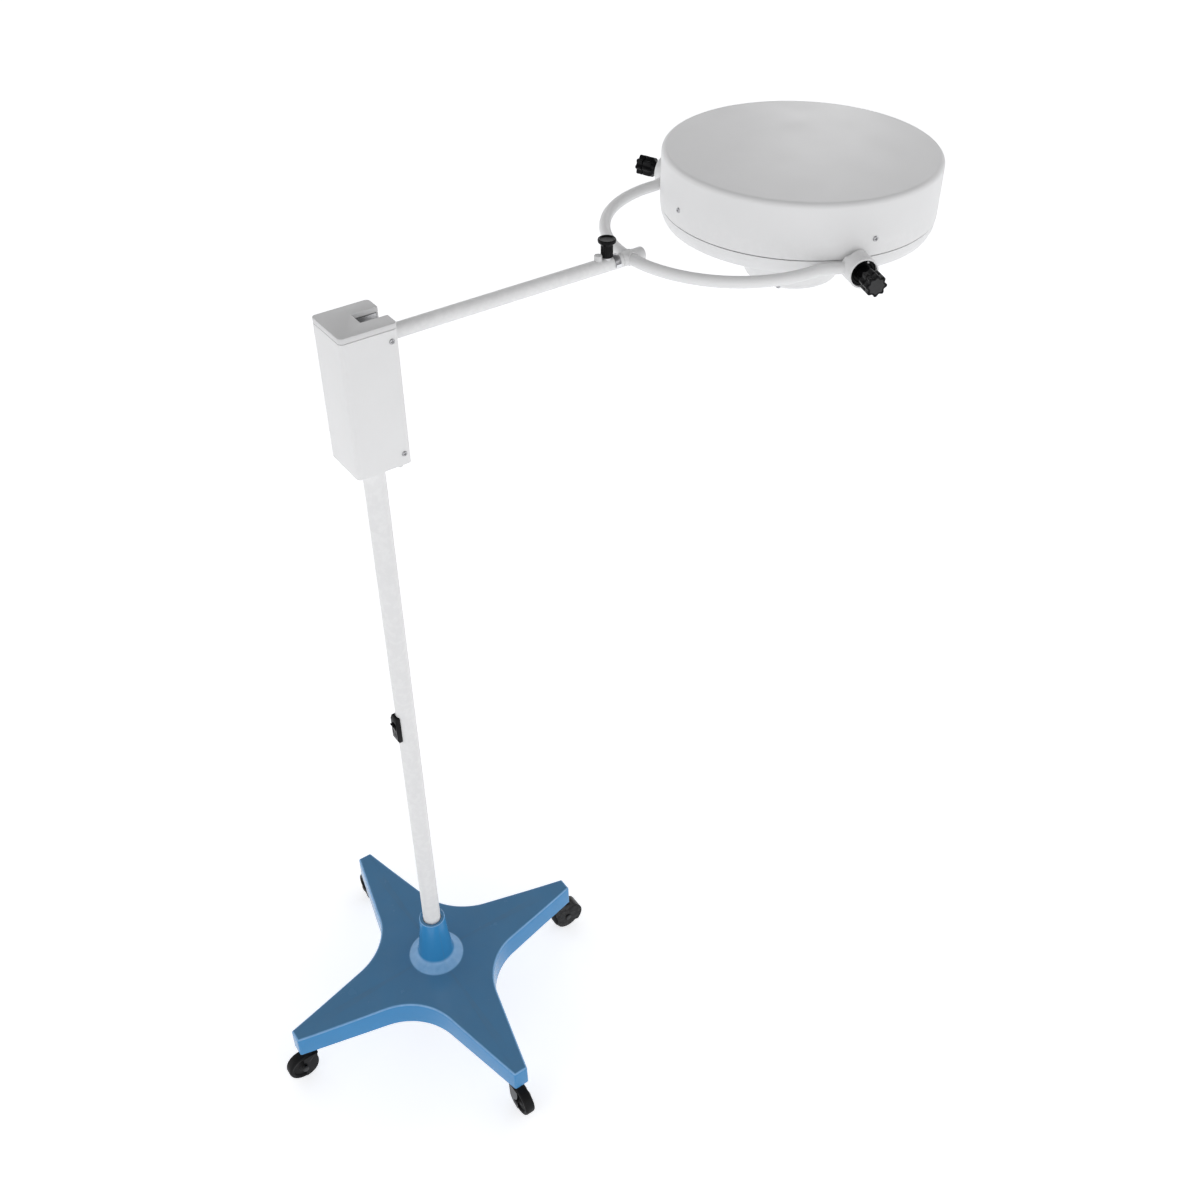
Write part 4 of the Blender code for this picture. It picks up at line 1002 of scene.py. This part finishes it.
def head():
    place = at(HEAD)
    skin_t, corner, sides = 0.0015, 0.0100, 220
    outside = [(0, HEAD_TOP), (0.1, HEAD_TOP)] + arc(HEAD_R - corner, HEAD_TOP - corner, corner, 90, 0, 16)
    hem = [(HEAD_R, HEAD_SEAM + 0.0004), (HEAD_R - 0.0004, HEAD_SEAM), (HEAD_R - skin_t, HEAD_SEAM)]
    inside = arc(HEAD_R - corner, HEAD_TOP - corner, corner - skin_t, 0, 90, 10) + [(0, HEAD_TOP - skin_t)]
    piece("drum", turned(outside + hem + inside, sides), "white_paint", "head", "head_cover", matrix=place)
    top = HEAD_SEAM - 0.0018
    bezel = [
        (0.2464, top), (0.2486, top), (0.2491, top - 0.0005), (0.2490, top - 0.0030), (0.2480, -0.0060),
        (0.2450, -0.0140), (0.2422, -0.0188), (0.2414, HEAD_BOTTOM + 0.0004), (0.2408, HEAD_BOTTOM),
        (0.2316, HEAD_BOTTOM), (0.2310, HEAD_BOTTOM + 0.0006), (0.2310, -0.0172), (0.2400, -0.0172),
        (0.2440, -0.0080),
    ]
    piece("rim", turned(bezel, sides), "white_paint", "head", "bezel_ring", matrix=place)
    low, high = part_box("front_glass")
    low, high = low.z - ARM_Z, high.z - ARM_Z
    flat = rounded([(0.0985, low), (0.2370, low), (0.2370, high), (0.0985, high)], 0.0004, 2)
    piece("window", turned(flat, 160), "glass", "head", "front_glass", matrix=place)
    for k, azimuth in enumerate((-9, 81, 171.6, 258.5)):
        a = math.radians(azimuth)
        out = Vector((math.cos(a), math.sin(a), 0))
        spot = HEAD + out * (HEAD_R - 0.0001) + Vector((0, 0, 0.038))
        pan_screw("drum_screw_%d" % (k + 1), spot, out, 0.0050, "head")
    reflector(place)
    hub(place)
    trunnions()


def reflector(place):
    """A spun dish with shallow rings."""
    inner_r, outer_r, thick = 0.0740, 0.2330, 0.0012
    lower, upper = [], []
    for i in range(41):
        r = inner_r + (outer_r - inner_r) * i / 40
        z = 0.0720 - 0.0800 * (r / outer_r) ** 2 + 0.00035 * math.sin(TAU * i / 5)
        lower.append((r, z))
        upper.append((r, z + thick))
    rim = [(0.2400, -0.0083), (0.2400, -0.0071)]
    piece("dish", turned(lower + rim + upper[::-1], 160), "aluminium", "head", "reflector", matrix=place)


def hub(place):
    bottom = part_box("hub_cap")[0].z - ARM_Z
    body = [
        (0.1030, -0.0126), (0.1030, -0.0100), (0.0260, -0.0100), (0.0260, -0.0125), (0.0920, -0.0125),
        (0.0945, -0.0200), (0.0855, -0.1120), (0.0835, -0.1120), (0.0840, -0.1170), (0.0885, -0.1170),
        (0.0887, -0.1166), (0.1008, -0.0200), (0.0990, -0.0173), (0.0980, -0.0173), (0.0980, -0.0126),
    ]
    made = piece("hub", turned(body, 128), "white_paint", "head", "hub_housing", matrix=place)
    for k in range(3):
        a = math.radians(30 + 120 * k)
        post = rod(0.0030, -0.0115, HEAD_TOP - 0.0018, 24)
        spot = HEAD + Vector((0.062 * math.cos(a), 0.062 * math.sin(a), 0))
        boolean(made, cutter("hub_post_%d" % (k + 1), post, at(spot)), "UNION")
    settled(made)
    cap = [
        (0, bottom), (0.0660, bottom), (0.0770, bottom + 0.0011), (0.0812, bottom + 0.0024),
        (0.0842, bottom + 0.0042), (0.0864, bottom + 0.0066), (0.0876, bottom + 0.0090), (0.0881, -0.1176),
        (0.0880, -0.1174), (0.0838, -0.1174), (0.0828, -0.1206), (0.0768, -0.1242), (0.0680, -0.1258),
        (0, -0.1262),
    ]
    piece("hub_bottom", turned(cap, 128), "white_paint", "head", "hub_cap", matrix=place)
    for k in range(3):
        a = math.radians(-147 + 120 * k)
        out = Vector((math.cos(a), math.sin(a), 0))
        spot = HEAD + out * 0.0858 + Vector((0, 0, -0.1226))
        pan_screw("hub_screw_%d" % (k + 1), spot, out - Vector((0, 0, 0.9)), 0.0042, "head")


def trunnions():
    """The head's pads and journals."""
    drum = cutter("drum_wall", rod(HEAD_R + GAP, -0.06, 0.12, 220), at(HEAD))
    for side, hand in SIDES:
        profile = rounded([
            (0, 0.2150), (PAD_R, 0.2150), (PAD_R, PAD_FACE - 0.0005), (PAD_R - 0.0006, PAD_FACE),
            (0.0100, PAD_FACE), (0.0100, 0.2608), (0.0092, 0.2616), (0, 0.2616),
        ], 0.0003, 2)
        tilt_axis, node = pointing((TILT_X, 0, ARM_Z), (0, side, 0)), "trunnion_" + hand
        pad = piece("pad_" + hand, turned(profile, 72), "white_paint", "head", node, matrix=tilt_axis)
        boolean(pad, drum)
        settled(pad)


# ---------------------------------------------------------------- finishes on the pieces kept from the frame


def dress_frame():
    """Every frame piece that is still shown gets its slot's finish."""
    slots = {row["node"]: row["material_slot"] for row in frame["record"]["subparts"]}
    for name, node in frame["nodes"].items():
        node.data.materials.clear()
        node.data.materials.append(LOOKS[slots[name]])


# ---------------------------------------------------------------- studio


def floor():
    """A pale floor that glows a little, so that it stays white and lights the lamp from below."""
    size = 40
    bm = prism([(-size, -size), (size, -size), (size, size), (-size, size)], -0.05, -0.0002)
    made = Finish("studio_floor", (0.80, 0.81, 0.83), 0.9)
    made.paint(made.mottled(0.004, 1.5))
    made.set(Emission_Color=(1, 1, 1, 1), Emission_Strength=0.60, Specular_IOR_Level=0.1)
    ground = make("floor", bm, made.material)


def sky():
    """Soft light: bright near the horizon, weaker overhead."""
    world = bpy.data.worlds.new("studio")
    bpy.context.scene.world = world
    world.use_nodes = True
    tree = world.node_tree
    background = tree.nodes["Background"]
    place = tree.nodes.new("ShaderNodeTexCoord")
    split = tree.nodes.new("ShaderNodeSeparateXYZ")
    ramp = tree.nodes.new("ShaderNodeValToRGB")
    tree.links.new(place.outputs["Generated"], split.inputs[0])
    tree.links.new(split.outputs[2], ramp.inputs[0])
    tree.links.new(ramp.outputs[0], background.inputs["Color"])
    stops = (
        (0.00, 1.02), (0.16, 1.02), (0.24, 1.55), (0.40, 1.55), (0.52, 0.48), (0.66, 0.30), (1.00, 0.26),
    )
    shades = ramp.color_ramp.elements
    while len(shades) < len(stops):
        shades.new(0.5)
    for shade, (height, grey) in zip(shades, stops):
        shade.position = height
        shade.color = (grey, grey, grey * 1.01, 1)
    background.inputs["Strength"].default_value = 1.0


# Azimuth in degrees, height and power of each
SOFTBOXES = ((-165, 3.4, 10), (-100, 3.0, 6), (-30, 3.4, 8), (40, 3.2, 6), (110, 3.4, 8))
SOFTBOX_DISTANCE, SOFTBOX_SIZE = 5.0, 0.7
SOFTBOX_AIM = (0, 0, 0.9)


def softbox(name, place, power):
    data = bpy.data.lights.new(name, "AREA")
    data.shape = "DISK"
    data.size = SOFTBOX_SIZE
    data.energy = power
    lamp = bpy.data.objects.new(name, data)
    bpy.context.scene.collection.objects.link(lamp)
    lamp.matrix_world = pointing(place, place - Vector(SOFTBOX_AIM))


def camera():
    """Above and behind the column's right, looking down along the arm."""
    data = bpy.data.cameras.new("camera")
    data.lens = 39.14
    data.sensor_width = 36.0
    data.clip_end = 200
    made = bpy.data.objects.new("camera", data)
    bpy.context.scene.collection.objects.link(made)
    azimuth, down = math.radians(54.44), math.radians(39.65)
    level = math.cos(down)
    forward = Vector((level * math.cos(azimuth), level * math.sin(azimuth), -math.sin(down)))
    turn = forward.to_track_quat("-Z", "Y").to_matrix().to_4x4()
    roll = Matrix.Rotation(math.radians(0.132), 4, "Z")
    stands = (COLUMN.x - 0.7304, -1.6581, 2.671)
    made.matrix_world = Matrix.Translation(stands) @ turn @ roll
    bpy.context.scene.camera = made


camera()
base()
castors()
column()
switch()
housing()
arm()
yoke()
head()
dress_frame()
floor()
sky()
for number, (azimuth, height, power) in enumerate(SOFTBOXES):
    turn = math.radians(azimuth)
    spot = Vector((SOFTBOX_DISTANCE * math.cos(turn), SOFTBOX_DISTANCE * math.sin(turn), height))
    softbox("softbox_%d" % (number + 1), spot, power)
bpy.context.scene.view_settings.view_transform = "Standard"
